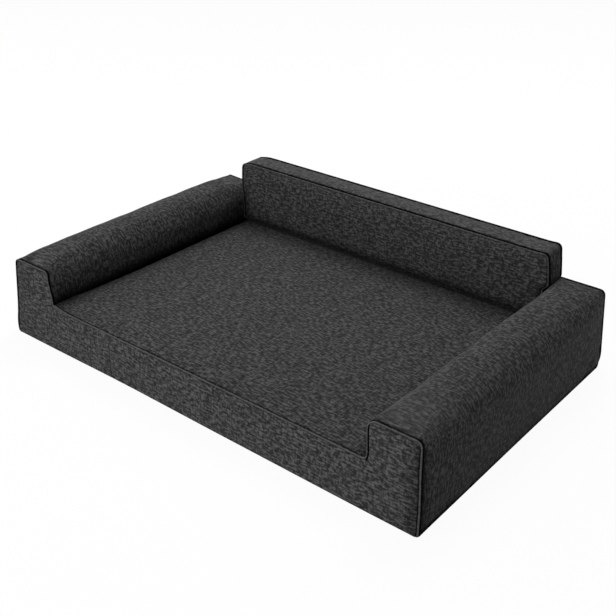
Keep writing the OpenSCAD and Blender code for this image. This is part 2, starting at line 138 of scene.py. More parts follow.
class DogBedSizes(bpy.types.PropertyGroup):
    """Sizes of the soft forms and of the sewing"""
    cell: length_property(
        "Fabric cell", "Size of a fabric cell before subdivision", 9, 4, 20)
    crown: length_property(
        "Crown", "Height of the sleeping surface's middle over its seams", 8, 0, 15)
    arm_top_puff: length_property(
        "Arm swell on top", "How far the middle of an arm rises over its ends", 14.2, 0, 18)
    arm_side_puff: length_property(
        "Arm swell outside", "How far the middle of an arm's outer side stands out", 10, 0, 15)
    arm_inner_puff: length_property(
        "Arm swell inside", "How far an arm swells over the sleeping surface", 8, 0, 12)
    back_puff: length_property(
        "Back swell", "How far the back cushion's front face swells", 7, 0, 10)
    end_puff: length_property(
        "End swell", "How far the front and rear faces swell", 2.5, 0, 6)
    gather: length_property(
        "Gathers", "Height of the small gathers beside a seam", 0.7, 0, 2)
    stitch: length_property(
        "Stitch pitch", "Length of a stitch and its gap", 4.4, 2, 8)
    dot_pitch: length_property(
        "Grip dot pitch", "Distance between grip dots on the underside", 25, 15, 50)
    yarn: length_property(
        "Yarn pitch", "Distance between neighbouring yarns of the tweed", 1.9, 0.5, 3)
    slub: length_property(
        "Slub length", "Length of a light or dark stretch along a yarn", 9, 2, 20)


def colour_property(name, description, value):
    return bpy.props.FloatVectorProperty(
        name=name, description=description, default=value, size=3, min=0, max=1, subtype="COLOR")


class DogBedColours(bpy.types.PropertyGroup):
    """Colours of the bed's materials"""
    dark: colour_property("Dark yarn", "The tweed's darkest yarn", (0.0152, 0.0152, 0.0155))
    mid: colour_property("Middle yarn", "The tweed's usual yarn", (0.0355, 0.0355, 0.0361))
    light: colour_property("Light yarn", "The tweed's lightest slubs", (0.0805, 0.0805, 0.0817))
    # The shade colour is painted shade: near-black that stands in for shade deep in seams and creases
    shade: colour_property("Seam shade", "Fabric deep in a seam or a crease", (0.0012, 0.0012, 0.0012))
    thread: colour_property("Thread", "Sewing thread", (0.008, 0.008, 0.0083))
    grip: colour_property("Underside", "Non-slip fabric underneath", (0.014, 0.014, 0.015))
    foam: colour_property("Foam", "Firm foam", (0.78, 0.75, 0.64))
    soft_foam: colour_property("Soft foam", "Softer foam under the sleeping surface", (0.46, 0.6, 0.7))
    lining: colour_property("Lining", "Lining round the base foam", (0.42, 0.42, 0.43))
    metal: colour_property("Zip metal", "Slider, pull tab and stops", (0.06, 0.06, 0.062))
    floor: colour_property("Floor", "Floor and backdrop", (0.86, 0.86, 0.86))


def sizes():
    return bpy.context.scene.dog_bed_sizes


def colours():
    return bpy.context.scene.dog_bed_colours


# Shader maths

class Wire:
    """A shader socket that takes part in Python expressions"""

    def __init__(self, graph, socket):
        self.graph = graph
        self.socket = socket

    def math(self, operation, *values):
        return self.graph.node("ShaderNodeMath", {"operation": operation}, dict(enumerate(values)))

    def __add__(self, other):
        return self.math("ADD", self, other)

    def __sub__(self, other):
        return self.math("SUBTRACT", self, other)

    def __rsub__(self, other):
        return self.math("SUBTRACT", other, self)

    def __mul__(self, other):
        return self.math("MULTIPLY", self, other)

    def __truediv__(self, other):
        return self.math("DIVIDE", self, other)

    __radd__ = __add__
    __rmul__ = __mul__

    def sine(self):
        return self.math("SINE", self)

    def floor(self):
        return self.math("FLOOR", self)

    def size(self):
        return self.math("ABSOLUTE", self)

    def between(self, low, high):
        """0 below low, 1 above high, and smooth between"""
        return self.graph.node(
            "ShaderNodeMapRange", {"interpolation_type": "SMOOTHSTEP"},
            {"Value": self, "From Min": low, "From Max": high})


class Graph:
    """The nodes of a new material, from its name, or those of the world"""

    def __init__(self, owner):
        self.owner = bpy.data.materials.new(owner) if isinstance(owner, str) else owner
        self.owner.use_nodes = True
        self.tree = self.owner.node_tree
        self.tree.nodes.clear()

    def node(self, kind, settings=None, inputs=None, output=0):
        node = self.tree.nodes.new(kind)
        for key, value in (settings or {}).items():
            setattr(node, key, value)
        for key, value in (inputs or {}).items():
            if isinstance(value, Wire):
                self.tree.links.new(value.socket, node.inputs[key])
            else:
                node.inputs[key].default_value = value
        return Wire(self, node.outputs[output]) if node.outputs else None

    def cloth(self):
        """Flat coordinates of the fabric, in metres"""
        return self.node("ShaderNodeUVMap", {"uv_map": "cloth"})

    def place(self):
        return self.node("ShaderNodeTexCoord", output="Object")

    def split(self, vector):
        parts = self.node("ShaderNodeSeparateXYZ", inputs={0: vector}).socket.node
        return [Wire(self, parts.outputs[i]) for i in range(3)]

    def join(self, x, y, z=0.0):
        return self.node("ShaderNodeCombineXYZ", inputs={0: x, 1: y, 2: z})

    def scaled(self, vector, factor):
        return self.node("ShaderNodeVectorMath", {"operation": "SCALE"}, {0: vector, "Scale": factor})

    def noise(self, vector, detail):
        return self.node(
            "ShaderNodeTexNoise", inputs={"Vector": vector, "Scale": 1.0, "Detail": detail})

    def mix(self, factor, a, b):
        """Mixes two colours"""
        a, b = [c if isinstance(c, Wire) else (*c, 1) for c in (a, b)]
        return self.node("ShaderNodeMix", {"data_type": "RGBA"}, {0: factor, 6: a, 7: b}, output=2)

    def ramp(self, factor, stops):
        ramp = self.node("ShaderNodeValToRGB", inputs={0: factor})
        elements = ramp.socket.node.color_ramp.elements
        while len(elements) < len(stops):
            elements.new(0.5)
        for element, (place, colour) in zip(elements, stops):
            element.position = place
            element.color = (*colour, 1)
        return ramp

    def dust(self, scale, detail):
        """Noise that is fixed to the piece"""
        return self.noise(self.scaled(self.place(), scale), detail)

    def cells(self, scale):
        return self.node(
            "ShaderNodeTexVoronoi", inputs={"Vector": self.scaled(self.place(), scale), "Scale": 1.0})

    def bump(self, height, distance, strength=1.0):
        return self.node(
            "ShaderNodeBump", inputs={"Height": height, "Distance": distance, "Strength": strength})

    def weave(self, u, v, pitch):
        """Over and under of a plain weave, from -1 to 1"""
        return (u * (math.pi / pitch)).sine() * (v * (math.pi / pitch)).sine()

    def plain(self, tint, low, high, height, distance, **inputs):
        """Ends the material: its colour runs from low to high with a tint, and a height raises it"""
        colour = self.mix(tint, low, high)
        return self.surface(Base_Color=colour, Normal=self.bump(height, distance), **inputs)

    def surface(self, shade=None, **inputs):
        """Ends the material in a Principled shader. Names use underscores for spaces. A shade above 0 is
        painted
        shade: it turns the surface into a dark, dull one by that share"""
        values = {key.replace("_", " "): value for key, value in inputs.items()}
        shader = self.node("ShaderNodeBsdfPrincipled", inputs=values)
        if shade is not None:
            deep = self.node("ShaderNodeBsdfDiffuse", inputs={"Color": (*colours().shade, 1)})
            shader = self.node(
                "ShaderNodeMixShader", inputs={0: shade.math("MAXIMUM", shade, 0), 1: shader, 2: deep})
        self.node("ShaderNodeOutputMaterial", inputs={"Surface": shader})
        return self.owner


# Fabrics and finishes

def tinted(colour, share):
    return [share * x for x in colour]


def tweed():
    """Charcoal melange: a plain weave whose yarns run lighter and darker along their length"""
    g = Graph("tweed")
    c = colours()
    pitch = sizes().yarn
    slub = sizes().slub
    u, v, _ = g.split(g.cloth())

    def yarns(along, across, step, shift, start):
        row = (across / pitch).floor()
        return g.noise(g.join(along / slub + row * step, row * shift, start), 1.0)

    over = g.weave(u, v, pitch)
    top = over.between(-0.25, 0.25)
    tone = yarns(u, v, 7.31, 3.17, 0.0) * top + yarns(v, u, 5.77, 2.83, 9.5) * (1 - top)
    weft_flecks = g.noise(g.join(u / (14 * MM), v / (4 * MM)), 1.0)
    warp_flecks = g.noise(g.join(u / (5.5 * MM), v / (10 * MM), 4.0), 1.0)
    flecks = (weft_flecks - 0.5) + (warp_flecks - 0.5) * 0.65 + 0.5
    cloud = g.noise(g.scaled(g.cloth(), 1 / (45 * MM)), 2.0)
    mixed = tone * 0.35 + flecks * 0.65 + (cloud - 0.5) * 0.12
    colour = g.ramp(mixed, [(0.40, c.dark), (0.5, c.mid), (0.62, c.light)])
    # Painted shade turns the cloth into a dull near-black in seams and creases, and below 0 the same
    # attribute paints a highlight in the light yarn's colour
    shade = g.node("ShaderNodeAttribute", {"attribute_name": "painted_shade_and_highlight"}, output=2)
    colour = g.mix(shade * -1, colour, c.light)
    return g.surface(
        shade, Base_Color=colour, Roughness=0.92, Specular_IOR_Level=0.07,
        Sheen_Weight=0.035, Sheen_Roughness=0.5, Sheen_Tint=(0.8, 0.8, 0.82, 1),
        Normal=g.bump(over.size() * 0.6 + mixed, 0.55 * MM, 0.7))


def sewing_thread():
    g = Graph("sewing_thread")
    twist = g.node(
        "ShaderNodeTexWave", {"bands_direction": "DIAGONAL"},
        {"Vector": g.place(), "Scale": 900.0, "Distortion": 1.0}, output=1)
    return g.plain(
        twist, colours().thread, tinted(colours().mid, 0.5), twist, 0.1 * MM, Roughness=0.6)


def woven_tape():
    """Herringbone tape, as on a zip"""
    g = Graph("woven_tape")
    x, _, z = g.split(g.place())
    rib = (x * 4500.0 + (z * 1400.0).sine() * 1.6).sine()
    dust = g.dust(300.0, 2.0)
    return g.plain(
        dust, (0.008, 0.008, 0.0085), (0.022, 0.022, 0.023), rib + dust, 0.15 * MM,
        Roughness=0.8, Sheen_Weight=0.1)


def nylon_coil():
    g = Graph("nylon_coil")
    scuff = g.dust(700.0, 3.0)
    return g.plain(
        scuff, (0.009, 0.009, 0.0095), (0.02, 0.02, 0.021), scuff, 0.05 * MM,
        Roughness=scuff.between(0.2, 0.8) * 0.25 + 0.3, Specular_IOR_Level=0.5)


def lacquered_metal():
    """Dark lacquer on zinc, rubbed on its high places"""
    g = Graph("lacquered_metal")
    grain = g.dust(900.0, 4.0)
    wear_and_painted_highlight = g.dust(160.0, 3.0).between(0.6, 0.75)
    return g.plain(
        wear_and_painted_highlight * 0.5, colours().metal, (0.2, 0.2, 0.2), grain, 0.03 * MM,
        Metallic=0.85, Roughness=grain * 0.15 + 0.28)


def grip_fabric():
    g = Graph("grip_fabric")
    x, y, _ = g.split(g.place())
    dust = g.dust(250.0, 3.0)
    return g.plain(
        dust, colours().grip, tinted(colours().grip, 2.2), g.weave(x, y, 1.1 * MM).size() + dust,
        0.2 * MM, Roughness=0.9, Sheen_Weight=0.1)


def rubber_dot():
    g = Graph("rubber_dot")
    dust = g.dust(500.0, 3.0)
    return g.plain(
        dust, (0.012, 0.012, 0.012), (0.03, 0.03, 0.03), dust, 0.04 * MM,
        Roughness=dust * 0.2 + 0.5)


def open_foam(name, colour):
    """Cut foam: small open cells and the waves of the saw"""
    g = Graph(name)
    cells = g.cells(650.0)
    saw = g.dust(28.0, 1.0)
    return g.plain(
        cells * 0.6 + saw * 0.3, tinted(colour, 0.8), colour, cells + saw * 2, 0.5 * MM,
        Roughness=0.9)


def knit_lining():
    g = Graph("knit_lining")
    x, y, z = g.split(g.place())
    loops = ((x + z) * 2600.0).sine() * ((y + z) * 2600.0).sine()
    dust = g.dust(60.0, 2.0)
    return g.plain(
        dust, tinted(colours().lining, 0.85), colours().lining, loops + dust, 0.15 * MM,
        Roughness=0.75, Sheen_Weight=0.2)


def pile(name, scale):
    """Hook or loop pile on a patch"""
    g = Graph(name)
    tufts = g.cells(scale)
    return g.plain(
        tufts, (0.03, 0.03, 0.031), (0.008, 0.008, 0.0085), 1 - tufts, 0.5 * MM,
        Roughness=0.85, Sheen_Weight=0.2)


def studio_floor():
    """A pale floor that shows as white where nothing shades it"""
    g = Graph("studio_floor")
    mottle = g.dust(1.5, 2.0)
    colour = g.mix(mottle, tinted(colours().floor, 0.99), colours().floor)
    lit = g.node("ShaderNodeBsdfDiffuse", inputs={"Color": colour})
    white = g.node("ShaderNodeEmission", inputs={"Color": (1, 1, 1, 1), "Strength": 1.0})
    both = g.node("ShaderNodeMixShader", inputs={0: clear_ray(g) * FLOOR_WHITE, 1: lit, 2: white})
    g.node("ShaderNodeOutputMaterial", inputs={"Surface": both})
    return g.owner


def clear_ray(g):
    """1 for what the camera, a reflection or a transparent piece sees"""
    path = g.node("ShaderNodeLightPath").socket.node
    camera, glossy, through = [
        Wire(g, path.outputs[name])
        for name in ("Is Camera Ray", "Is Glossy Ray", "Is Transmission Ray")]
    return camera.math("MAXIMUM", camera.math("MAXIMUM", camera, glossy), through)


@lru_cache(maxsize=None)
def material(name):
    """The named material, made once"""
    makers = {
        "tweed": tweed,
        "thread": sewing_thread,
        "tape": woven_tape,
        "coil": nylon_coil,
        "metal": lacquered_metal,
        "grip": grip_fabric,
        "dot": rubber_dot,
        "foam": lambda: open_foam("firm_foam", colours().foam),
        "soft_foam": lambda: open_foam("soft_foam", colours().soft_foam),
        "lining": knit_lining,
        "hooks": lambda: pile("hook_pile", 900.0),
        "loops": lambda: pile("loop_pile", 500.0),
        "floor": studio_floor,
    }
    return makers[name]()


# Mesh helpers

def select_only(*pieces):
    """Selects these objects and no others. The first is the active one"""
    for other in bpy.context.selected_objects:
        other.select_set(False)
    for obj in pieces:
        obj.select_set(True)
    bpy.context.view_layer.objects.active = pieces[0] if pieces else None


def added(operator, **settings):
    """The object that an operator adds, with nothing else selected"""
    select_only()
    operator(**settings)
    return bpy.context.object


def coords(obj):
    co = np.zeros(len(obj.data.vertices) * 3, np.float32)
    obj.data.vertices.foreach_get("co", co)
    return co.reshape(-1, 3).astype(float)


def set_coords(obj, points):
    obj.data.vertices.foreach_set("co", np.asarray(points, np.float32).ravel())
    obj.data.update()


def apply_modifier(obj, kind, name, **settings):
    select_only(obj)
    modifier = obj.modifiers.new(name, kind)
    for key, value in settings.items():
        setattr(modifier, key, value)
    bpy.ops.object.modifier_apply(modifier=name)


@contextmanager
def editing(obj):
    """Edit mode, with all of one object selected"""
    select_only(obj)
    bpy.ops.object.mode_set(mode="EDIT")
    bpy.ops.mesh.select_all(action="SELECT")
    yield
    bpy.ops.object.mode_set(mode="OBJECT")


def lines(a, b, step):
    """Grid lines from a to b: close together at the rolled borders, and about a step apart elsewhere"""
    graded = [0, 0.134 * ROLL, 0.5 * ROLL, ROLL, ROLL + 2 * MM, ROLL + 5 * MM, GRADED]
    low = [a + d for d in graded]
    high = [b - d for d in reversed(graded)]
    count = max(1, round((high[0] - low[-1]) / step))
    return low + list(np.linspace(low[-1], high[0], count + 1)[1:-1]) + high


def roll_depth(d, radius=ROLL):
    """Depth of a rolled border below the face, at a distance from the border"""
    rest = np.clip(radius - d, 0, radius)
    return radius - np.sqrt(radius * radius - rest * rest)


def unit(vectors):
    return vectors / np.linalg.norm(vectors, axis=1)[:, None]


def run_length(points):
    """Distance of each point of a path from its start"""
    return np.concatenate([[0], np.cumsum(np.linalg.norm(np.diff(points, axis=0), axis=1))])


def ease(t):
    return np.sin(np.pi / 2 * np.clip(t, 0, 1))


def settled(distance, reach):
    """0 at a seam, rising fast beside it and 1 from a distance on, as a filled cover does"""
    return 1 - np.power(1 - np.clip(distance / reach, 0, 1), 2.5)


def near(distance, reach):
    """1 at a place, falling away over a reach"""
    return np.exp(-np.square(distance / reach))


def bow(t):
    return 1 - np.power(2 * np.clip(t, 0, 1) - 1, 4)


def smooth(t):
    t = np.clip(t, 0, 1)
    return t * t * (3 - 2 * t)


def side_at(z):
    return SIDE_X + SIDE_FLARE * (1 - z / ARM_H)


def end_at(z):
    return END_Y + END_FLARE * (1 - z / ARM_H)


def ripple(s, t, seed, lengths=(19, 26, 37, 53, 71)):
    """Small uneven waves over a surface, about 1 high"""
    draw = np.random.default_rng(seed)
    total = 0
    for length in lengths:
        angle, phase, phase_2 = draw.uniform(0, 2 * np.pi, 3)
        k = 2 * np.pi / (length * MM)
        across = 0.35 * k * t * np.cos(angle)
        total = total + np.sin(k * s + across + phase) * np.cos(0.5 * k * t + phase_2)
    return total / np.sqrt(len(lengths))


def gathers(s, t, seed, distance, reach):
    """Small gathers that fade over a reach away from a seam"""
    return sizes().gather * ripple(s, t, seed) * np.exp(-distance / reach)


def loose_waves(s, t, seed, lengths, height=0.5 * MM):
    """Long shallow waves of a cover that isn't drawn tight"""
    return height * ripple(s, t, seed, lengths)


def grid_piece(name, us, vs, place, cloth, keep=None, flip=False):
    """A grid primitive whose lines are laid by a formula: place gives the points and cloth the flat
    coordinates. Cells whose middle keep leaves out are deleted"""
    obj = added(
        bpy.ops.mesh.primitive_grid_add, x_subdivisions=len(us) - 1, y_subdivisions=len(vs) - 1, size=1)
    obj.name = name
    u, v = [a.ravel() for a in np.meshgrid(us, vs)]
    set_coords(obj, place(u, v))
    flat = np.column_stack(cloth(u, v))
    corners = np.zeros(len(obj.data.loops), np.int32)
    obj.data.loops.foreach_get("vertex_index", corners)
    layer = obj.data.uv_layers[0]
    layer.name = "cloth"
    layer.data.foreach_set("uv", flat[corners].astype(np.float32).ravel())
    if keep is not None:
        face_corners = corners.reshape(-1, 4)
        inside = keep(u[face_corners].mean(1), v[face_corners].mean(1))
        bpy.context.tool_settings.mesh_select_mode = (False, False, True)
        obj.data.polygons.foreach_set("select", ~inside)
        bpy.ops.object.mode_set(mode="EDIT")
        bpy.ops.mesh.delete(type="FACE")
        bpy.ops.object.mode_set(mode="OBJECT")
        bpy.context.tool_settings.mesh_select_mode = (True, False, False)
    if flip:
        with editing(obj):
            bpy.ops.mesh.flip_normals()
    return obj


def rim_distance(obj):
    """Distance of each vertex from the nearest open edge of a sheet"""
    co = coords(obj)
    count = {}
    for polygon in obj.data.polygons:
        for key in polygon.edge_keys:
            count[key] = count.get(key, 0) + 1
    rim = sorted({v for key, n in count.items() if n == 1 for v in key})
    rim_points = co[rim]
    best = np.full(len(co), np.inf)
    for i in range(0, len(rim_points), 64):
        step = np.linalg.norm(co[:, None, :] - rim_points[None, i:i + 64, :], axis=2).min(1)
        best = np.minimum(best, step)
    return best


# Settings of the covers' cloth. The pattern is cut a little larger than its place
CLOTH = {
    "quality": 5, "mass": 0.4, "tension_stiffness": 25, "compression_stiffness": 25,
    "shear_stiffness": 10, "bending_stiffness": 2, "vertex_group_mass": "held",
    "use_pressure": True, "shrink_min": -0.006, "shrink_max": -0.006}
LAST_FRAME = 20


def swell(obj, pressure, cap, hold=ROLL):
    """Blows a sheet up a little between its seams with a cloth simulation, and applies the result. No
    point moves by more than the cap, and the borders are held"""
    start = coords(obj)
    held = np.flatnonzero(rim_distance(obj) <= hold + 0.3 * MM)
    group = obj.vertex_groups.new(name="held")
    group.add([int(i) for i in held], 1.0, "REPLACE")
    modifier = obj.modifiers.new("swell", "CLOTH")
    for key, value in CLOTH.items():
        setattr(modifier.settings, key, value)
    modifier.settings.uniform_pressure_force = pressure
    modifier.settings.effector_weights.gravity = 0
    modifier.collision_settings.use_collision = False
    modifier.point_cache.frame_start = 1
    modifier.point_cache.frame_end = LAST_FRAME
    scene = bpy.context.scene
    for step in range(1, LAST_FRAME + 1):
        scene.frame_set(step)
    end = coords(obj.evaluated_get(bpy.context.evaluated_depsgraph_get()))
    obj.modifiers.remove(modifier)
    obj.vertex_groups.remove(group)
    scene.frame_set(1)
    moved = end - start
    length = np.linalg.norm(moved, axis=1)
    moved *= (cap * np.tanh(length / cap) / np.maximum(length, 1e-9))[:, None]
    set_coords(obj, start + moved)


# Height up to which the floor corners are drawn in, and how far at the floor, in front and behind
TUCK_H = 44 * MM
TUCK_FRONT = 6.5 * MM
TUCK_REAR = 20 * MM


def round_corner(px, pz, cx, cz, sx, sz, r):
    """Moves points of a square corner at (cx, cz), whose inside lies towards (-sx, -sz), onto an arc"""
    qx = np.clip(sx * (px - cx) + r, 0, None)
    qz = np.clip(sz * (pz - cz) + r, 0, None)
    both = (qx > 0) & (qz > 0)
    ratio = np.where(both, np.maximum(qx, qz) / np.maximum(np.hypot(qx, qz), 1e-9), 1)
    return px - sx * qx * (1 - ratio), pz - sz * qz * (1 - ratio)


def tuck_corners(points):
    """Rounds the bed's floor corners, which the foam doesn't fill: more towards the floor"""
    x, y, z = points.T
    tuck = np.where(y < 0, TUCK_FRONT, TUCK_REAR)
    r = tuck * np.square(np.clip(1 - z / TUCK_H, 0, 1)) + 1e-9
    px, py = round_corner(np.abs(x), np.abs(y), side_at(z), end_at(z), 1, 1, r)
    return np.column_stack([np.sign(x) * px, np.sign(y) * py, z])


# Places at which the sewn cover sits off its pattern, in millimetres: the face (-1 front, 1 rear), x and
# z of the place, its reach in x, in z and behind the face, and the shift in x, y and z
PULLS = (
    (-1, -445, 108, 44, 44, 28, 15, 0, 6),
    (-1, 445, 108, 36, 44, 28, 5, 0, -1),
    (-1, 480, 0, 300, 60, 40, 0, -2.8, 0),
    (-1, 569, 0, 120, 60, 260, 1.8, 0, 0),
    (-1, 569, 55, 30, 45, 30, 1.9, 0, 0),
    (-1, -200, 0, 190, 60, 40, 0, 2.6, 0),
    (-1, -569, 22, 40, 32, 60, -4, 0, 0),
    (-1, 447, 190, 9, 12, 14, 2, 0, -5),
    (-1, -40, 108, 280, 34, 70, 0, 0, 1.3),
    (1, -500, 191, 70, 60, 85, 0, -2, -4.5),
    (-1, 445, 108, 8, 8, 20, -2.6, 0, 2.6),
    (1, 445, 108, 8, 8, 20, -2.6, 0, 2.6),
    (1, -445, 108, 8, 8, 20, 2.6, 0, 2.6))


def pull_seams(points):
    x, y, z = points.T
    out = points.copy()
    for face, at_x, at_z, reach_x, reach_z, reach_y, *shift in PULLS:
        behind = end_at(z) - face * y
        share = near(x - at_x * MM, reach_x * MM) * near(z - at_z * MM, reach_z * MM)
        out += (share * near(behind, reach_y * MM))[:, None] * np.array(shift) * MM
    return out


def shape_base(points):
    """Brings the base's sheets, seams and stitches to their sewn shape"""
    return pull_seams(tuck_corners(points))


def shape_back(points):
    """Brings the back cushion's pieces to their sewn shape: its top falls to the right and is rounder at
    the left, its ends swell over the arms, and its lower front seam sinks to the sleeping surface"""
    x, y, z = points.T
    up = np.clip((z - BACK_LOW) / (BACK_TOP - BACK_LOW), 0, 1)
    low_front = near(z - BACK_LOW, 13 * MM) * near(y - BACK_FRONT, 16 * MM)
    top_left = near(x + BACK_X, 26 * MM) * near(z - BACK_TOP, 30 * MM)
    top_right = near(x - BACK_X, 14 * MM) * near(z - BACK_TOP, 14 * MM)
    top_front = near(y - BACK_FRONT, 20 * MM) * near(z - BACK_TOP, 20 * MM) * (1 - top_left)
    over_arm = smooth((z - ARM_H + 12 * MM) / (18 * MM))
    sag = np.sqrt(np.clip((BACK_TOP - z) / (BACK_TOP - ARM_H), 0, 1)) * over_arm
    near_end = np.power(np.clip(np.abs(x) / BACK_X, 0, 1), 8)
    out = points.copy()
    out[:, 0] += near_end * sag * np.where(x > 0, 13 * MM, -5 * MM)
    out[:, 0] += 1.5 * MM * top_right
    out[:, 1] -= 1 * MM * low_front + 2 * MM * top_front
    out[:, 2] += 2.2 * MM * top_right - 3.8 * MM * top_front - 2.4 * MM * low_front
    out[:, 2] -= 2.2 * MM * up * x / BACK_X + 6.8 * MM * top_left
    return out


def store_shade(obj, values):
    """Stores the painted shade at each point of a mesh, in seams and creases. Below 0 it is a painted
    highlight instead
    """
    attribute = obj.data.attributes.new("painted_shade_and_highlight", "FLOAT", "POINT")
    attribute.data.foreach_set("value", np.asarray(values, np.float32))


def finish(obj, body, nodes, finish_name, smooth_shade=True):
    """Gives a piece its material, puts it under its body and hides the CAD nodes it stands for"""
    obj.data.materials.clear()
    obj.data.materials.append(material(finish_name))
    select_only(obj)
    if smooth_shade:
        bpy.ops.object.shade_smooth()
    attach(obj, body)
    if nodes:
        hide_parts(*nodes)


def finish_cover(obj, body, nodes, shape=shape_base, rim=FACE_RIM, crease=None):
    """Paints shade on its rim as the rim's numbers say, and crease gives more painted shade from the
    points, or a painted highlight where it is below 0
    """
    share, start, fade = rim
    lit = 1 - share * (1 - smooth((rim_distance(obj) - start) / fade))
    if crease is not None:
        lit = lit * (1 - crease(*coords(obj).T))
    store_shade(obj, 1 - lit)
    apply_modifier(obj, "SUBSURF", "finer", levels=1, render_levels=1)
    set_coords(obj, shape(coords(obj)))
    apply_modifier(obj, "SOLIDIFY", "fabric", thickness=COVER_T, offset=-1, use_even_offset=False)
    finish(obj, body, nodes, "tweed")


# Seams and stitches

def arc_corners(corners, closed=False):
    """Outline through corners (x, z, radius), with arcs"""
    out = []
    n = len(corners)
    for i, (x, z, r) in enumerate(corners):
        p = np.array([x, z])
        if r <= 0 or (not closed and i in (0, n - 1)):
            out.append(p)
            continue
        a, b = unit(np.array([corners[i - 1][:2], corners[(i + 1) % n][:2]]) - p)
        half = math.acos(float(np.clip(a @ b, -1, 1))) / 2
        middle = p + (a + b) / np.linalg.norm(a + b) * r / math.sin(half)
        start = p + a * r / math.tan(half) - middle
        end = p + b * r / math.tan(half) - middle
        turn = math.pi - 2 * half
        for t in np.arange(7) / 6:
            arm = start * math.sin((1 - t) * turn) + end * math.sin(t * turn)
            out.append(middle + arm / math.sin(turn))
    return np.array(out)


def resample(path, step, closed):
    """The same path with points about a step apart"""
    path = np.vstack([path, path[:1]]) if closed else np.asarray(path)
    along = run_length(path)
    count = max(2, round(along[-1] / step))
    marks = np.linspace(0, along[-1], count + 1)
    points = np.column_stack([np.interp(marks, along, path[:, k]) for k in range(3)])
    return (points[:-1], marks) if closed else (points, marks)


def end_outline(depth):
    """Stepped outline of the front and rear faces, drawn in by a depth"""
    half = [
        (side_at(HEM_Z) - depth, HEM_Z, 0),
        (SIDE_X - depth, ARM_H - depth, CORNER_OUT - depth),
        (INNER_X + depth, ARM_H - depth, CORNER_IN - depth),
        (INNER_X + depth, SEAT_H - depth, 0)]
    return arc_corners([(-x, z, r) for x, z, r in half] + half[::-1])


def back_outline(depth):
    """Outline of the back cushion's faces, drawn in by a depth"""
    x, low, high, r = BACK_X - depth, BACK_LOW + depth, BACK_TOP - depth, BACK_CORNER - depth
    return arc_corners([(-x, low, r), (-x, high, r), (x, high, r), (x, low, r)], closed=True)


def end_path(face, depth, inward):
    """A line round the front (-1) or rear (1) face: depth in from its outline, inward from the face"""
    flat = end_outline(depth)
    return np.column_stack([flat[:, 0], face * (end_at(flat[:, 1]) - inward), flat[:, 1]])


def back_path(y, depth):
    flat = back_outline(depth)
    return np.column_stack([flat[:, 0], np.full(len(flat), y), flat[:, 1]])


def tangents(points, closed):
    if closed:
        ahead, behind = np.roll(points, -1, 0), np.roll(points, 1, 0)
    else:
        ahead = np.vstack([points[1:], 2 * points[-1:] - points[-2:-1]])
        behind = np.vstack([2 * points[:1] - points[1:2], points[:-1]])
    return unit(ahead - behind)


def outward_of(way):
    """Outward normals of a path that runs clockwise seen from the front"""
    return unit(np.column_stack([-way[:, 2], 0 * way[:, 0], way[:, 0]]))


def ridge(
        name, path, across, face, body, nodes, closed=False, shape=shape_base,
        wear_and_painted_highlight=0.75, open_side=0.45, deep=lambda points: 0 * points[:, 2] - 1):
    """A turned seam: a round welt of fabric along a path, on a face that looks to -Y (-1) or +Y (1). It
    gets painted shade where it turns down beside the covers, by open_side less towards the face, and a
    painted highlight on its outer crest by a share. Deep gives the least painted shade at each point of
    the path"""
    points, marks = resample(path, 5 * MM, closed)
    way = tangents(points, closed)
    beside = unit(np.cross(across, way))
    n = len(points)
    sides = 12
    rows = np.arange(n + 1) if closed else np.arange(n)
    angles = np.linspace(0, 2 * np.pi, sides + 1)
    wobble = ripple(marks, marks * 0, len(name), lengths=(11, 17, 29, 61))

    def normals(u, i):
        return np.cos(u)[:, None] * np.array(across) + np.sin(u)[:, None] * beside[i]

    def place(u, v):
        i = v.astype(int) % n
        r = SEAM_R * (0.94 + 0.05 * wobble[i])
        return points[i] + r[:, None] * normals(u, i)

    obj = grid_piece(
        name, angles, rows, place, lambda u, v: (u * SEAM_R + 0.3, marks[v.astype(int) % len(marks)]))
    u, i = [a.ravel() for a in np.meshgrid(angles, rows % n)]
    outward = unit(np.column_stack([-way[:, 2], face + 0 * way[:, 0], way[:, 0]]))
    lean = np.sum(normals(u, i) * outward[i], 1)
    to_face = 2 * face * normals(u, i)[:, 1] - math.sqrt(2) * lean
    lying = 1 - np.abs(way[i, 2])
    dark = 0.97 - open_side * lying * smooth(to_face / 0.4 + 0.5)
    # Painted shade on the welt's flanks and a painted highlight on its outer crest
    shade = dark * (1 - smooth((lean - 0.4) / 0.4)) - wear_and_painted_highlight * smooth((lean - 0.65) / 0.3)
    store_shade(obj, np.maximum(shade, deep(points[i])))
    with editing(obj):
        bpy.ops.mesh.remove_doubles(threshold=WELD)
        if not closed:
            bpy.ops.mesh.select_all(action="DESELECT")
            bpy.ops.mesh.select_non_manifold()
            bpy.ops.mesh.fill_holes(sides=sides)
            bpy.ops.mesh.select_all(action="SELECT")
        bpy.ops.mesh.normals_make_consistent(inside=False)
    apply_modifier(obj, "SUBSURF", "finer", levels=1, render_levels=1)
    set_coords(obj, shape(coords(obj)))
    finish(obj, body, nodes, "tweed")


def thread_stitch(length):
    """One stitch: a short thread that dips into the fabric at both ends"""
    obj = added(bpy.ops.mesh.primitive_uv_sphere_add, segments=6, ring_count=5, radius=0.5)
    bpy.ops.transform.rotate(value=math.pi / 2, orient_axis="Y", center_override=(0, 0, 0))
    bpy.ops.object.transform_apply(rotation=True)
    co = coords(obj)
    co[:, 0] *= length
    co[:, 1] *= 0.9 * MM
    co[:, 2] = co[:, 2] * 0.7 * MM - 0.9 * MM * np.square(2 * co[:, 0] / length) * 0.5
    set_coords(obj, co)
    return obj


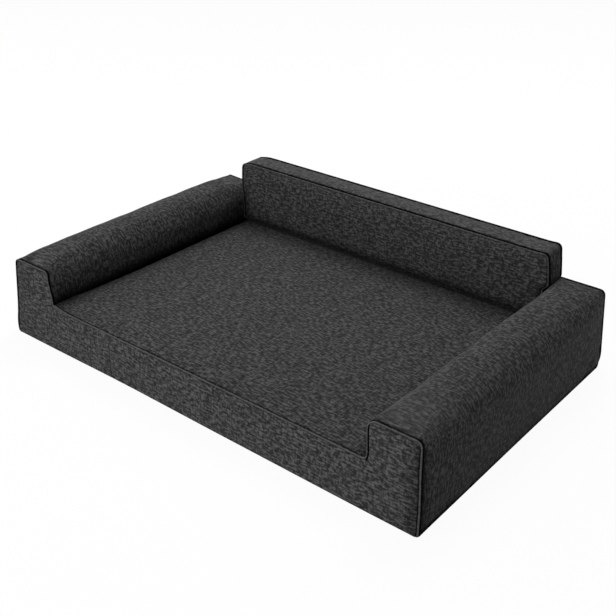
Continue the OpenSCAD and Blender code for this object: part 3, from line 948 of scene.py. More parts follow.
def copies(obj, name, points, along, out):
    """Repeats a small shape in one mesh, once at each point: its X along, its Z out"""
    along, out = [np.broadcast_to(np.array(way, float), points.shape) for way in (along, out)]
    out = unit(out - along * np.sum(along * out, 1)[:, None])
    beside = np.cross(out, along)
    co = coords(obj)
    placed = (
        points[:, None, :] + co[None, :, 0:1] * along[:, None, :]
        + co[None, :, 1:2] * beside[:, None, :] + co[None, :, 2:3] * out[:, None, :])
    apply_modifier(
        obj, "ARRAY", "repeat", count=len(points), use_relative_offset=False,
        use_constant_offset=True, constant_offset_displace=(0, 0, 0))
    set_coords(obj, placed.reshape(-1, 3))
    obj.name = name
    return obj


def row_of_stitches(path, outward, closed=False):
    """Places of the stitches along a path: points, directions and outward normals"""
    points, _ = resample(path, sizes().stitch, closed)
    way = tangents(points, closed)
    if not closed:
        points, way = points[1:-1], way[1:-1]
    return points, way, outward(points)


def sew(name, rows, body, shape=shape_base):
    """One piece that holds rows of stitches"""
    points, way, out = [np.vstack([row[k] for row in rows]) for k in range(3)]
    obj = copies(thread_stitch(0.72 * sizes().stitch), name, shape(points), way, out)
    finish(obj, body, (), "thread")


def flat_normal(direction):
    return lambda points: np.tile(np.asarray(direction, float), (len(points), 1))


def outline_normal(points):
    return outward_of(tangents(points, False))


# Covers of the base

def seat_height(x, y):
    front = -end_at(SEAT_H)
    from_arm = INNER_X - np.abs(x)
    dip = CREASE_DIP * (1 - ease(from_arm / CREASE_REACH)) * ease((y - front) / CREASE_RUN)
    crown = sizes().crown * bow((x + INNER_X) / (2 * INNER_X)) * bow((y - front) / (CLEAR_Y - front))
    return SEAT_H - dip + crown


def make_seat_cover():
    half_x = INNER_X - FIT_GAP
    half_y = end_at(SEAT_H) - EDGE
    cell = sizes().cell

    def place(x, y):
        from_end = half_y - np.abs(y)
        from_arm = half_x - np.abs(x)
        wave = gathers(x, y, 11, from_end, 26 * MM) + gathers(y, x, 12, from_arm, 30 * MM)
        middle = smooth(np.minimum(from_end, from_arm) / (60 * MM))
        wave += loose_waves(x, y, 13, (90, 140, 210)) * middle
        low = roll_depth(from_end) + roll_depth(from_arm)
        free = smooth(from_end / (4 * MM)) * (1 - under_cushion(y))
        return np.column_stack([x, y, seat_height(x, y) - low + wave * free])

    obj = grid_piece(
        "seat_cover", lines(-half_x, half_x, cell), lines(-half_y, half_y, cell), place,
        lambda x, y: (x, y))
    swell(obj, pressure=1.0, cap=1.5 * MM)
    settle_under_back(obj)
    finish_cover(obj, "base", ["seat_panel"], rim=SEAT_RIM, crease=seat_painted_shade)


def seat_painted_shade(x, y, z):
    """Painted shade of the sleeping surface beside the left arm, the right arm and the back cushion"""
    left, right = 0.75 * near(INNER_X + x, 36 * MM), 0.85 * near(INNER_X - x, 19 * MM)
    return np.maximum(np.where(x < 0, left, right), 0.8 * near(BACK_FRONT - 4 * MM - y, 8 * MM))


def under_cushion(y):
    return smooth((y - CLEAR_Y) / (10 * MM))


def settle_under_back(obj):
    """Keeps the sleeping surface flat where the back cushion and its patches lie on it"""
    co = coords(obj)
    under = under_cushion(co[:, 1])
    most = SEAT_H - 0.1 * MM
    co[:, 2] = np.where(co[:, 2] > most, co[:, 2] * (1 - under) + most * under, co[:, 2])
    set_coords(obj, co)


def arm_profile(stretch, t, y):
    """Outer face of an arm at a place along it, as (x, z, unit outward x, unit outward z)"""
    span = END_Y - EDGE
    settle = settled(span - np.abs(y), ARM_SETTLE)
    clear = bow((y + span) / (CLEAR_Y + span))
    r_out = CORNER_OUT + (ROUND_OUT - CORNER_OUT) * settle
    r_in = CORNER_IN + (ROUND_IN - CORNER_IN) * settle
    top = ARM_H + sizes().arm_top_puff * settle
    side_puff = sizes().arm_side_puff * settle
    uneven = 1 + 0.3 * ripple(y, 0 * y, 81, lengths=(90, 150, 230))
    inner_puff = sizes().arm_inner_puff * clear * uneven
    z_out, z_in = top - r_out, top - r_in
    x_out = side_at(z_out) + side_puff - r_out
    x_in = INNER_X - inner_puff / 2 + r_in
    hem = SEAT_H - CREASE_DIP + FIT_GAP
    z_side = HEM_Z + (z_out - HEM_Z) * t
    inner = INNER_X - inner_puff * ((1 - t ** 3) / 2 + 3 * t * t * (1 - t))
    a = np.pi / 2 * t
    parts = [
        (side_at(z_side) + side_puff * (2 * t - t * t), z_side, 1 + 0 * t, 0 * t),
        (x_out + r_out * np.cos(a), z_out + r_out * np.sin(a), np.cos(a), np.sin(a)),
        (x_out + (x_in - x_out) * t, top + MM * settle * np.sin(np.pi * t), 0 * t, 1 + 0 * t),
        (x_in - r_in * np.sin(a), z_in + r_in * np.cos(a), -np.sin(a), np.cos(a)),
        (inner, z_in + (hem - z_in) * t, -1 + 0 * t, 0 * t),
        (INNER_X + 0 * t, hem - (FIT_GAP + COVER_T) * t, -1 + 0 * t, 0 * t)]
    stretch = stretch.astype(int)
    return [np.choose(stretch, [part[k] for part in parts]) for k in range(4)]


def make_arm_cover(side, name, node):
    """Wraps an arm: up its outer side, over the top and down to the sleeping surface"""
    span = END_Y - EDGE
    ys = lines(-span, span, sizes().cell)
    side_height = 158 * MM
    low = [d * HEM_ROLL / side_height for d in (0, 0.13, 0.5, 1, 4)]
    stations = [(0, t) for t in low]
    stations += [(0, t) for t in np.linspace(low[-1], 1, 16)[1:-1]]
    for stretch, count in ((1, 9), (2, 4), (3, 10), (4, 8), (5, 2)):
        stations += [(stretch, t) for t in np.arange(0, 1 - 1e-6, 1 / count)]
    stations = np.array([*stations, (5, 1.0)])
    around = run_length(np.array(arm_profile(*stations.T, 0 * stations[:, 1])[:2]).T)

    def place(u, v):
        row = np.rint(u).astype(int)
        stretch, t = stations[row].T
        from_end = span - np.abs(v)
        x, z, nx, nz = arm_profile(stretch, t, v)
        from_floor = np.where(stretch == 0, (z - HEM_Z), 1.0)
        depth = roll_depth(from_end) + roll_depth(from_floor, HEM_ROLL)
        s = around[row]
        wave = gathers(s, v, 21 + side, from_end, 30 * MM) * smooth(from_end / (5 * MM))
        wave += loose_waves(v, s, 31 + side, (80, 130, 190), 0.6 * MM) * smooth(from_end / (70 * MM))
        towards_seat = np.where(stretch == 4, smooth((1 - t) * 4), 1)
        wave *= (stretch < 5) * smooth(from_floor / (20 * MM)) * towards_seat
        x = x + nx * (wave - depth)
        z = z + nz * (wave - depth)
        y = v / span * (end_at(z) - EDGE)
        return np.column_stack([side * x, y, z])

    obj = grid_piece(
        name, np.arange(len(stations)), ys, place,
        lambda u, v: (around[np.rint(u).astype(int)] + 1.7 * side, v), flip=side > 0)
    swell(obj, pressure=1.0, cap=1.5 * MM)
    finish_cover(obj, "base", [node], rim=ARM_RIM, crease=arm_painted_light)


def arm_painted_light(x, y, z):
    """Painted shade of an arm's inside towards the sleeping surface and of its outer side towards the
    front. The right arm's top gets a painted highlight there"""
    inside = 0.99 * near(z - (SEAT_H - CREASE_DIP), 35 * MM)
    side = 0.35 * near(y + END_Y, 16 * MM) + 0.13 * near(y + END_Y, 200 * MM) * (x > 0)
    top = -0.2 * near(y + END_Y - 50 * MM, 100 * MM) * (x > 0)
    outside = side + (top - side) * smooth((z - ARM_H + 25 * MM) / (25 * MM))
    return np.where(np.abs(x) < INNER_X + 2 * MM, inside, outside)


def face_distance(x, z):
    """Distance of a point of the front or rear face from its sewn border"""
    ax = np.abs(x)
    d = np.minimum(SIDE_X - EDGE - ax, ARM_H - EDGE - z)
    dx = ax - (INNER_X + EDGE)
    dz = (SEAT_H - EDGE) - z
    notch = np.where((dx > 0) & (dz > 0), np.hypot(dx, dz), np.where(dx > 0, dx, dz))
    return np.minimum(d, notch)


def face_points(x, z, face, d, extra):
    """Points of the front (-1) or rear (1) face. x is as at the top of the arms"""
    out_share = np.clip((np.abs(x) - INNER_X) / (SIDE_X - EDGE - INNER_X), 0, 1)
    px, pz = np.abs(x), z
    px, pz = round_corner(px, pz, SIDE_X - EDGE, ARM_H - EDGE, 1, 1, CORNER_OUT - EDGE)
    px, pz = round_corner(px, pz, INNER_X + EDGE, ARM_H - EDGE, -1, 1, CORNER_IN - EDGE)
    px = px + SIDE_FLARE * (1 - pz / ARM_H) * out_share
    from_floor = z - HEM_Z
    puff = sizes().end_puff * smooth(np.minimum(d, from_floor) / (38 * MM))
    y = face * (end_at(pz) - roll_depth(d) - roll_depth(from_floor, HEM_ROLL) + puff + extra)
    return np.column_stack([np.sign(x) * px, y, pz])


def lines_through(marks, step):
    """Grid lines through all the marks: graded at each, and even where two are close"""
    marks = sorted(set(marks))
    laid = marks[:1]
    for a, b in zip(marks, marks[1:]):
        short = b - a < 2 * GRADED
        count = max(3, round(2 * (b - a) / step))
        laid += (list(np.linspace(a, b, count + 1)) if short else lines(a, b, step))[1:]
    return laid


def slot_marks(slot):
    """Places along x and z at which a slot begins and ends"""
    return ((-slot[0], slot[0]), slot[1:]) if slot else ((), ())


def face_lines(low, high, slot=None):
    """Grid lines of the front or rear face between two places along it"""
    corners = [x for x in (-INNER_X - EDGE, INNER_X + EDGE) if low < x < high]
    ends, sides = slot_marks(slot)
    xs = lines_through([low, high, *corners, *ends], sizes().cell)
    zs = lines_through([HEM_Z, SEAT_H - EDGE, ARM_H - EDGE, *sides], sizes().cell)
    return xs, zs


def in_notch(x, z):
    return (np.abs(x) < INNER_X + EDGE) & (z > SEAT_H - EDGE)


def make_front_covers():
    """The two fabric pieces of the front face, which meet at a sewn join"""
    out = SIDE_X - EDGE
    for name, node, low, high, seed in (
            ("front_cover_left", "front_panel_left", -out, JOIN_X - JOIN_GAP, 41),
            ("front_cover_right", "front_panel_right", JOIN_X + JOIN_GAP, out, 42)):

        def place(x, z, seed=seed):
            d = face_distance(x, z)
            wave = 0.8 * gathers(x, z, seed, d, 20 * MM) * smooth(d / (5 * MM))
            join_roll = 0.6 * roll_depth(1.6 * (np.abs(x - JOIN_X) - JOIN_GAP))
            sewn_down = sum(0.5 * MM * near(x - JOIN_X + row, 1.6 * MM) for row in JOIN_ROWS)
            return face_points(x, z, -1, d, wave - join_roll - sewn_down)

        obj = grid_piece(
            name, *face_lines(low, high), place, lambda x, z: (x, z + 2.0),
            keep=lambda x, z: ~in_notch(x, z))
        swell(obj, pressure=1.0, cap=1.2 * MM)
        finish_cover(obj, "base", [node], crease=front_painted_shade)


def front_painted_shade(x, y, z):
    """Painted shade of the front face towards its right and left sides, and deep beside both side seams
    """
    broad = 0.5 * near(side_at(z) - x, 26 * MM) + 0.17 * near(side_at(z) + x, 90 * MM)
    return np.maximum(broad, 0.98 * near(side_at(z) - EDGE - np.abs(x), 2.6 * MM))


def zip_height(chain):
    return (chain[0].z + chain[1].z) / 2


def zip_opening(chain):
    """Half length, low and high side of the slot in the fabric over a zip's chain"""
    middle = zip_height(chain)
    return chain[1].x + STOP_L + 2 * FIT_GAP, middle - ZIP_SLOT / 2, middle + ZIP_SLOT / 2


def slot_distance(x, z, slot):
    """Distance of a point from a slot. It is 0 inside, and large where there is none"""
    if slot is None:
        return 1.0 + 0 * x
    end, low, high = slot
    dx = np.clip(np.abs(x) - end, 0, None)
    dz = np.clip(np.abs(z - (low + high) / 2) - (high - low) / 2, 0, None)
    return np.hypot(dx, dz)


def make_rear_cover():
    """The rear face, with a slot over its zip"""
    slot = zip_opening(BASE_ZIP)
    out = SIDE_X - EDGE

    def place(x, z):
        from_slot = slot_distance(x, z, slot)
        d = np.minimum(face_distance(x, z), from_slot + 2 * MM)
        wave = 0.8 * gathers(x, z, 43, d, 20 * MM) * smooth(from_slot / (8 * MM))
        flat = smooth(from_slot / (30 * MM))
        return face_points(x, z, 1, d * (0.3 + 0.7 * flat), wave * flat)

    obj = grid_piece(
        "rear_cover", *face_lines(-out, out, slot), place, lambda x, z: (x, z + 3.0),
        keep=lambda x, z: ~in_notch(x, z) & (slot_distance(x, z, slot) > 0), flip=True)
    swell(obj, pressure=0.8, cap=1.0 * MM, hold=ROLL + 3 * MM)
    finish_cover(obj, "base", ["rear_panel"])


def make_base_seams():
    for face, word in ((-1, "front"), (1, "rear")):
        ridge(
            f"{word}_seam_ridge", end_path(face, SEAM_AXIS, SEAM_AXIS),
            (0, -math.cos(LEAN), -face * math.sin(LEAN)), face, "base", [f"{word}_seam"])
        on_face = row_of_stitches(end_path(face, SEWN_BESIDE, SEWN_IN), flat_normal((0, face, 0)))
        round_it = row_of_stitches(end_path(face, SEWN_IN, SEWN_BESIDE), outline_normal)
        sew(f"{word}_seam_stitches", [on_face, round_it], "base")


def make_join_stitches():
    """Two rows of topstitching beside the join in the front face"""
    rows = []
    z = np.linspace(HEM_Z + 4 * MM, SEAT_H - EDGE - 2 * MM, 20)
    for row in JOIN_ROWS:
        x = JOIN_X - row + 0 * z
        path = face_points(x, z, -1, face_distance(x, z), -0.2 * MM)
        rows.append(row_of_stitches(path, flat_normal((0, -1, 0))))
    sew("front_join_stitches", rows, "base")


# Covers of the back cushion

def cushion_face(name, node, y, face, puff, seed, cap, slot=None):
    """Front (-1) or rear (1) face of the back cushion"""
    half_x = BACK_X - EDGE
    low, high = BACK_LOW + EDGE, BACK_TOP - EDGE
    r = BACK_CORNER - EDGE
    ends, sides = slot_marks(slot)
    xs = lines_through([-half_x, half_x, *ends], sizes().cell)
    zs = lines_through([low, high, *sides], sizes().cell)

    def place(x, z):
        d = np.minimum(np.minimum(half_x - np.abs(x), z - low), high - z)
        free = smooth(slot_distance(x, z, slot) / (30 * MM))
        px, pz = round_corner(np.abs(x), z, half_x, high, 1, 1, r)
        px, pz = round_corner(px, pz, half_x, low, 1, -1, r)
        up = (z - low) / (high - low)
        full = bow(up) * (1 - up) + np.sin(np.pi * up) * up
        rise = puff * bow((x + half_x) / (2 * half_x)) * full * free
        wave = gathers(x, z, seed, d, 24 * MM) * smooth(d / (5 * MM)) * free
        wave += loose_waves(x, z, seed + 5, (70, 120, 200)) * smooth(d / (40 * MM)) * free
        return np.column_stack([np.sign(x) * px, y + face * (rise + wave - roll_depth(d)), pz])

    obj = grid_piece(
        name, xs, zs, place, lambda x, z: (x, z + seed),
        keep=(lambda x, z: slot_distance(x, z, slot) > 0) if slot else None, flip=face > 0)
    swell(obj, pressure=1.0, cap=cap, hold=ROLL + 3 * MM if slot else ROLL)
    finish_cover(obj, "backrest", [node], shape_back, CUSHION_RIM, cushion_painted_light)


def cushion_painted_light(x, y, z):
    """Painted shade of the cushion's faces, darker low down and beside the arms. Their top edge gets a
    painted highlight
    """
    low = 0.3 * (BACK_TOP - z) / (BACK_TOP - BACK_LOW) + 0.5 * near(z - BACK_LOW, 16 * MM)
    beside_arm = 0.7 * near(BACK_X - np.abs(x), 14 * MM) * smooth((ARM_H - z) / (20 * MM) + 0.5)
    return 1 - (1 - low) * (1 - beside_arm) - 0.14 * near(BACK_TOP - z, 20 * MM)


def make_cushion_band():
    """Band of fabric round the back cushion"""
    r = BACK_CORNER
    front, rear = BACK_FRONT + EDGE, BACK_REAR - EDGE
    x, low, high = BACK_X - r, BACK_LOW + r, BACK_TOP - r
    cell = sizes().cell
    ring = []
    for turn, a, b, swelled in (
            (-1, (x, low), (x, high), 0.5), (0, (x, high), (-x, high), 1),
            (1, (-x, high), (-x, low), 0.5), (2, (-x, low), (x, low), 0)):
        ring += [(*a, math.pi / 2 * (turn + k / 4), 0) for k in range(5)]
        count = max(2, round(math.dist(a, b) / cell))
        for t in np.arange(1, count) / count:
            middle = (1 - t) * np.array(a) + t * np.array(b)
            ring.append((*middle, math.pi / 2 * (turn + 1), swelled * bow(t)))
    ring = np.array(ring + ring[:1])
    around = run_length(ring[:, :2] + r * np.column_stack([np.cos(ring[:, 2]), np.sin(ring[:, 2])]))

    def place(u, v):
        row = np.rint(u).astype(int)
        cx, cz, angle, rise = ring[row].T
        d = np.minimum(v - front, rear - v)
        s = around[row]
        wave = 0.6 * sizes().gather * ripple(s, v, 61) * (rise > 0) * smooth(d / (5 * MM))
        out = r + 3 * MM * rise * np.sin(np.pi * (v - front) / (rear - front)) + wave - roll_depth(d)
        out = np.where((row == 0) | (row == len(ring) - 1), r - roll_depth(d), out)
        return np.column_stack([cx + out * np.cos(angle), v, cz + out * np.sin(angle)])

    obj = grid_piece(
        "back_band_cover", np.arange(len(ring)), lines(front, rear, cell), place,
        lambda u, v: (around[np.rint(u).astype(int)], v + 5.0), flip=True)
    with editing(obj):
        bpy.ops.mesh.remove_doubles(threshold=WELD)
    swell(obj, pressure=0.6, cap=0.8 * MM)
    # A painted highlight along the top of the band
    finish_cover(
        obj, "backrest", ["back_band"], shape_back, BAND_RIM,
        lambda x, y, z: -0.24 * smooth((z - BACK_TOP + 12 * MM) / (8 * MM)))


def make_back_seams():
    for word, y, face in (
            ("front", BACK_FRONT + SEAM_AXIS, -1), ("rear", BACK_REAR - SEAM_AXIS, 1)):
        # Each welt gets painted shade along its bottom by the sleeping surface, and a painted highlight
        # on its crest
        ridge(
            f"back_{word}_seam_ridge", back_path(y, SEAM_AXIS), (0, 1, 0), face, "backrest",
            [f"back_{word}_seam"], closed=True, shape=shape_back, wear_and_painted_highlight=0.5,
            open_side=0.97, deep=lambda points: 1.86 * near(points[:, 2] - BACK_LOW, 6 * MM) - 1)
        beside = back_path(y - face * (SEWN_BESIDE - SEAM_AXIS), SEWN_IN)
        points, way, _ = row_of_stitches(beside, flat_normal((0, 0, 1)), closed=True)
        sew(f"back_{word}_seam_stitches", [(points, way, outward_of(way))], "backrest", shape_back)


# Zips, patches and underside

def on_zip(points, z, lean):
    """Puts local zip coordinates (along, out, up) on a rear face"""
    c, s = math.cos(lean), math.sin(lean)
    x, out, up = points.T
    y = end_at(z) if lean else BACK_REAR
    return np.column_stack([x, y + out * c - up * s, z + out * s + up * c])


def zip_tape(name, length, z, lean, body, node):
    """Two woven tapes with a selvedge, one each side of the chain"""
    pieces = []
    ups = np.array([0.2, 1.2, 2.5, 4, 6, 9, 12, 13.4, 14.2]) * MM
    xs = np.linspace(-length / 2, length / 2, 160)
    for s in (-1, 1):

        def place(x, up, s=s):
            out = TAPE_OUT - 0.05 * MM - 0.12 * MM * (up > 13 * MM)
            return on_zip(np.column_stack([x, out, s * up]), z, lean)

        obj = grid_piece(name + str(s), xs, ups, place, lambda x, up: (x, up), flip=s > 0)
        apply_modifier(obj, "SOLIDIFY", "tape", thickness=0.7 * MM, offset=-1)
        pieces.append(obj)
    finish(join_pieces(pieces, name), body, [node], "tape")


def join_pieces(pieces, name):
    select_only(*pieces)
    bpy.ops.object.join()
    pieces[0].name = name
    return pieces[0]


def coil_tooth():
    """One tooth of a coil zip: a bar with rounded edges, its length across the chain"""
    obj = added(bpy.ops.mesh.primitive_cube_add, size=1)
    set_coords(obj, coords(obj) * np.array([0.95 * MM, CHAIN_W * 0.56, 1.25 * MM]))
    apply_modifier(obj, "BEVEL", "round", width=0.3 * MM, segments=1)
    return obj


def zip_coil(name, low, length, z, lean, body, node):
    """Interlocked teeth over a core of tape"""
    k = np.arange(2 * (int(length / TOOTH_PITCH) - 1))
    s = np.where(k % 2 == 0, 1, -1)
    x = low + 0.75 * TOOTH_PITCH + k * TOOTH_PITCH / 2
    local = np.column_stack([x, 0 * x + TAPE_OUT + CHAIN_T - 0.65 * MM, s * CHAIN_W * 0.21])
    points = on_zip(local, z, lean)
    teeth = copies(coil_tooth(), name, points, (1, 0, 0), (0, math.cos(lean), math.sin(lean)))
    core = added(bpy.ops.mesh.primitive_cube_add, size=1)
    local = coords(core) * np.array([length, 0.7 * MM, CHAIN_W * 0.8])
    set_coords(core, on_zip(local + np.array([0, TAPE_OUT + 0.4 * MM, 0]), z, lean))
    finish(join_pieces([teeth, core], name), body, [node], "coil", smooth_shade=False)


def copied(name, node):
    """A copy of a CAD piece's mesh, with its doubled points merged"""
    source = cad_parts[node]
    obj = source.copy()
    obj.data = source.data.copy()
    for key in list(obj.keys()):
        del obj[key]
    obj.name = name
    obj.parent = None
    bpy.context.scene.collection.objects.link(obj)
    with editing(obj):
        bpy.ops.mesh.remove_doubles(threshold=CAD_WELD)
        bpy.ops.mesh.dissolve_limited(angle_limit=math.radians(2))
    return obj


def soften(name, node, body, finish_name, width):
    """A copy of a hard CAD piece with its edges rounded, which stands for it"""
    obj = copied(name, node)
    apply_modifier(
        obj, "BEVEL", "soften", width=width, segments=2, limit_method="ANGLE",
        angle_limit=SHARP, use_clamp_overlap=True)
    finish(obj, body, [node], finish_name, smooth_shade=False)
    bpy.ops.object.shade_smooth_by_angle(angle=SHARP)


def make_zips():
    for word, body, chain, lean in (
            ("base", "base", BASE_ZIP, LEAN), ("back", "backrest", BACK_ZIP, 0.0)):
        low, length, z = chain[0].x, chain[1].x - chain[0].x, zip_height(chain)
        tape_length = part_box(f"{word}_zip_tapes")[1].x * 2
        zip_tape(f"{word}_zip_tape_pair", tape_length, z, lean, body, f"{word}_zip_tapes")
        zip_coil(f"{word}_zip_coil", low, length, z, lean, body, f"{word}_zip_chain")
        for piece, node, rider, width in (
                ("end_stops", "stops", body, 0.3 * MM),
                ("runner", "slider", f"{word}_slider", 0.18 * MM),
                ("tab", "pull", f"{word}_pull", 0.2 * MM)):
            soften(f"{word}_zip_{piece}", f"{word}_zip_{node}", rider, "metal", width)


def make_patches():
    """Hook patches on the seat and loop patches under the back cushion"""
    for name, node, body, finish_name in (
            ("hook_patch_pile", "hook_patches", "base", "hooks"),
            ("loop_patch_pile", "loop_patches", "backrest", "loops")):
        soften(name, node, body, finish_name, 0.4 * MM)


def make_underside():
    """Non-slip fabric with rubber dots, and its thin edge round the floor line"""
    inset = 1.2 * MM
    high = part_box("bottom_panel")[1]
    half_x, half_y = high.x - inset, high.y - inset
    xs = np.linspace(-half_x, half_x, 57)
    ys = np.linspace(-half_y, half_y, 39)

    def place(x, y):
        rim = np.minimum(half_x - np.abs(x), half_y - np.abs(y))
        wave = loose_waves(x, y, 71, (60, 90, 150), 0.25 * MM) * smooth(rim / (40 * MM))
        return shape_base(np.column_stack([x, y, GRIP_Z + wave]))

    obj = grid_piece("underside_fabric", xs, ys, place, lambda x, y: (x, y), flip=True)
    apply_modifier(obj, "SOLIDIFY", "fabric", thickness=1.0 * MM, offset=-1)
    finish(obj, "base", ["bottom_panel"], "grip")
    pitch = sizes().dot_pitch
    row_h = pitch * math.sqrt(3) / 2
    spots = []
    rows = int(2 * (half_y - DOT_MARGIN) / row_h)
    for j in range(rows + 1):
        y = (j - rows / 2) * row_h
        shift = pitch / 2 if j % 2 else 0
        count = int((half_x - DOT_MARGIN - shift) / pitch)
        spots += [(i * pitch + shift, y, GRIP_Z) for i in range(-count - (j % 2), count + 1)]
    spots = np.array(spots)
    dot = added(bpy.ops.mesh.primitive_uv_sphere_add, segments=8, ring_count=4, radius=DOT_R)
    set_coords(dot, coords(dot) * np.array([1, 1, 0.29]))
    dots = copies(dot, "grip_dots", spots, (1, 0, 0), (0, 0, 1))
    finish(dots, "base", (), "dot", smooth_shade=False)


def make_back_filling():
    """The back cushion's foam, rounded and shaped as its cover is"""
    low, high = [np.array(corner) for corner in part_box("back_foam")]
    middle, half, r = (low + high) / 2, (high - low) / 2 - np.array([9, 3, 3]) * MM, 12 * MM
    obj = added(bpy.ops.mesh.primitive_cube_add, size=2)
    obj.name = "back_filling"
    with editing(obj):
        bpy.ops.mesh.subdivide(number_cuts=23)
    d = coords(obj) * half
    past = np.clip(np.abs(d) - (half - r), 0, None)
    share = past.max(1) / np.maximum(np.linalg.norm(past, axis=1), 1e-9)
    rounded = np.sign(d) * (np.minimum(np.abs(d), half - r) + past * share[:, None])
    set_coords(obj, shape_back(middle + rounded))
    finish(obj, "backrest", ["back_foam"], "foam")


# The other fillings: piece, CAD node, finish, and how far it is drawn in from the covers' corners along
# x, y and z, in millimetres
FILLINGS = (
    ("lining_shell", "base_lining", "lining", (4, 4, 0)),
    ("base_filling", "base_foam", "foam", (4.4, 4.4, 0)),
    ("comfort_filling", "comfort_foam", "soft_foam", (1, 1, 0)),
    ("arm_filling_left", "arm_foam_left", "foam", (1.5, 1.5, 1.5)),
    ("arm_filling_right", "arm_foam_right", "foam", (1.5, 1.5, 1.5)))


def make_base_fillings():
    """Foam and lining of the base. The arms' foam is shaped as their covers are"""
    for name, node, finish_name, drawn_in in FILLINGS:
        obj = copied(name, node)
        low, high = coords(obj).min(0), coords(obj).max(0)
        middle = (low + high) / 2
        share = 1 - 2 * MM * np.array(drawn_in) / (high - low)
        if name.startswith("arm"):
            with editing(obj):
                bpy.ops.mesh.quads_convert_to_tris()
                bpy.ops.mesh.subdivide(number_cuts=3)
            set_coords(obj, shape_base(coords(obj)))
        set_coords(obj, middle + (coords(obj) - middle) * share)
        finish(obj, "base", [node], finish_name, smooth_shade=False)


# Stage

# The camera as fitted to the photograph: its place in metres, its turn and tilt in degrees, and its lens
# in millimetres
CAMERA_AT = (1.2549, -1.5029, 1.1722)
CAMERA_TURN = 39.406
CAMERA_DOWN = 28.614
CAMERA_LENS = 57.421


def make_floor():
    floor = added(bpy.ops.mesh.primitive_plane_add, size=60, location=(0, 0, -0.3 * MM))
    floor.name = "studio_floor"
    floor.data.materials.append(material("floor"))


WORLD_LIGHT = 0.16

# Studio lights, all turned to the middle of the bed: name, place, width and power
LIGHT_AIM = (0, 0, 0.1)
SOFTBOXES = (
    ("overhead_softbox", (-0.6, 1.6, 3.4), 1.8, 78),
    ("rear_softbox", (0, 3.6, 2.6), 2.5, 34),
    ("left_softbox", (-4, 0.3, 2.2), 2.5, 54),
    ("front_left_softbox", (-2.4, -2.6, 1.8), 1.8, 19),
    ("front_softbox", (0, -4, 1.2), 3.0, 120))


def area_light(name, place, size, power):
    light = added(bpy.ops.object.light_add, type="AREA", location=place)
    light.name = name
    light.data.shape = "DISK"
    light.data.size = size
    light.data.energy = power
    light.rotation_euler = (Vector(LIGHT_AIM) - Vector(place)).to_track_quat("-Z", "Y").to_euler()


def make_world():
    world = bpy.data.worlds.new("studio")
    bpy.context.scene.world = world
    g = Graph(world)
    soft = g.node("ShaderNodeBackground", inputs={"Color": (1, 1, 1, 1), "Strength": WORLD_LIGHT})
    white = g.node("ShaderNodeBackground", inputs={"Color": (1, 1, 1, 1), "Strength": 1.0})
    both = g.node("ShaderNodeMixShader", inputs={0: clear_ray(g), 1: soft, 2: white})
    g.node("ShaderNodeOutputWorld", inputs={"Surface": both})


def make_camera():
    data = bpy.data.cameras.new("photo_camera")
    camera = bpy.data.objects.new("photo_camera", data)
    bpy.context.scene.collection.objects.link(camera)
    data.sensor_width = 36
    data.lens = CAMERA_LENS
    data.clip_end = 100
    camera.location = CAMERA_AT
    camera.rotation_euler = (math.radians(90 - CAMERA_DOWN), 0, math.radians(CAMERA_TURN))
    bpy.context.scene.camera = camera
    bpy.context.scene.view_settings.view_transform = "Standard"


# Operators

class DOGBED_OT_seat(bpy.types.Operator):
    """Make the crowned cover of the sleeping surface"""
    bl_idname = "dog_bed.seat"
    bl_label = "Seat cover"

    def execute(self, context):
        make_seat_cover()
        return {"FINISHED"}


class DOGBED_OT_arms(bpy.types.Operator):
    """Make the padded covers of both arms"""
    bl_idname = "dog_bed.arms"
    bl_label = "Arm covers"

    def execute(self, context):
        make_arm_cover(-1, "arm_cover_left", "arm_panel_left")
        make_arm_cover(1, "arm_cover_right", "arm_panel_right")
        return {"FINISHED"}


class DOGBED_OT_ends(bpy.types.Operator):
    """Make the front face in two pieces, and the rear face with its zip slot"""
    bl_idname = "dog_bed.ends"
    bl_label = "Front and rear covers"

    def execute(self, context):
        make_front_covers()
        make_rear_cover()
        return {"FINISHED"}


class DOGBED_OT_seams(bpy.types.Operator):
    """Make the turned seams of the base and their stitches"""
    bl_idname = "dog_bed.seams"
    bl_label = "Base seams"

    def execute(self, context):
        make_base_seams()
        make_join_stitches()
        return {"FINISHED"}


class DOGBED_OT_back(bpy.types.Operator):
    """Make the back cushion's covers and seams"""
    bl_idname = "dog_bed.back"
    bl_label = "Back cushion"

    def execute(self, context):
        cushion_face(
            "back_front_cover", "back_front_panel", BACK_FRONT, -1, sizes().back_puff, 51, 1.5 * MM)
        cushion_face(
            "back_rear_cover", "back_rear_panel", BACK_REAR, 1, 2 * MM, 52, 0.8 * MM,
            zip_opening(BACK_ZIP))
        make_cushion_band()
        make_back_seams()
        return {"FINISHED"}


class DOGBED_OT_zips(bpy.types.Operator):
    """Make the tapes, coils, stops, sliders and pull tabs of both zips"""
    bl_idname = "dog_bed.zips"
    bl_label = "Zips"

    def execute(self, context):
        make_zips()
        return {"FINISHED"}


class DOGBED_OT_patches(bpy.types.Operator):
    """Make the hook and loop patches that hold the back cushion"""
    bl_idname = "dog_bed.patches"
    bl_label = "Hook and loop patches"

    def execute(self, context):
        make_patches()
        return {"FINISHED"}


class DOGBED_OT_underside(bpy.types.Operator):
    """Make the non-slip underside with its grip dots"""
    bl_idname = "dog_bed.underside"
    bl_label = "Underside"

    def execute(self, context):
        make_underside()
        return {"FINISHED"}


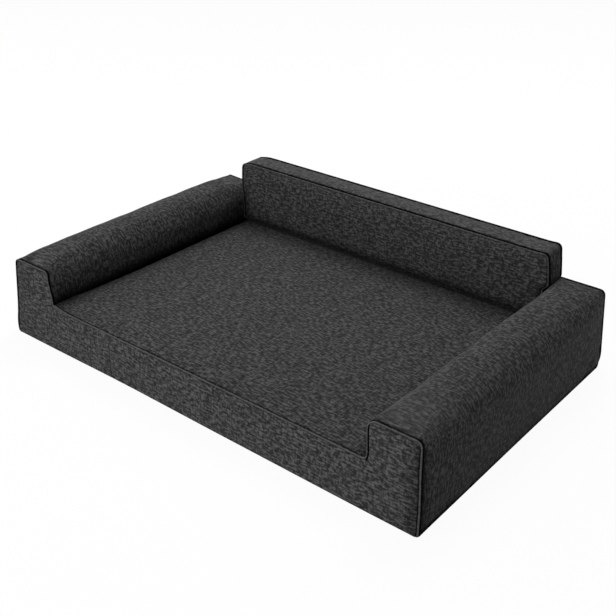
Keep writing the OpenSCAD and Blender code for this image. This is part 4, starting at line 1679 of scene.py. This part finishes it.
class DOGBED_OT_filling(bpy.types.Operator):
    """Make the foam blocks and the lining"""
    bl_idname = "dog_bed.filling"
    bl_label = "Filling"

    def execute(self, context):
        make_back_filling()
        make_base_fillings()
        return {"FINISHED"}


class DOGBED_OT_stage(bpy.types.Operator):
    """Make the floor, the soft lights and the camera"""
    bl_idname = "dog_bed.stage"
    bl_label = "Stage"

    def execute(self, context):
        make_floor()
        make_world()
        for name, place, size, power in SOFTBOXES:
            area_light(name, place, size, power)
        make_camera()
        return {"FINISHED"}


class DOGBED_PT_panel(bpy.types.Panel):
    """Lists the bed's pieces, sizes and colours"""
    bl_idname = "DOGBED_PT_panel"
    bl_label = "Dog bed"
    bl_space_type = "VIEW_3D"
    bl_region_type = "UI"
    bl_category = "Dog bed"

    def draw(self, context):
        for operator in OPERATORS:
            self.layout.operator(operator.bl_idname)
        for group in (context.scene.dog_bed_sizes, context.scene.dog_bed_colours):
            for name in group.__annotations__:
                self.layout.prop(group, name)


OPERATORS = (
    DOGBED_OT_stage, DOGBED_OT_seat, DOGBED_OT_arms, DOGBED_OT_ends, DOGBED_OT_seams, DOGBED_OT_back,
    DOGBED_OT_zips, DOGBED_OT_patches, DOGBED_OT_underside, DOGBED_OT_filling)
CLASSES = (DogBedSizes, DogBedColours, *OPERATORS, DOGBED_PT_panel)


def register():
    for cls in CLASSES:
        bpy.utils.register_class(cls)
    bpy.types.Scene.dog_bed_sizes = bpy.props.PointerProperty(type=DogBedSizes)
    bpy.types.Scene.dog_bed_colours = bpy.props.PointerProperty(type=DogBedColours)


def unregister():
    del bpy.types.Scene.dog_bed_colours
    del bpy.types.Scene.dog_bed_sizes
    for cls in reversed(CLASSES):
        bpy.utils.unregister_class(cls)


def main():
    register()
    bpy.ops.dog_bed.stage()
    bpy.ops.dog_bed.seat()
    bpy.ops.dog_bed.arms()
    bpy.ops.dog_bed.ends()
    bpy.ops.dog_bed.seams()
    bpy.ops.dog_bed.back()
    bpy.ops.dog_bed.zips()
    bpy.ops.dog_bed.patches()
    bpy.ops.dog_bed.underside()
    bpy.ops.dog_bed.filling()


if __name__ == "__main__":
    main()
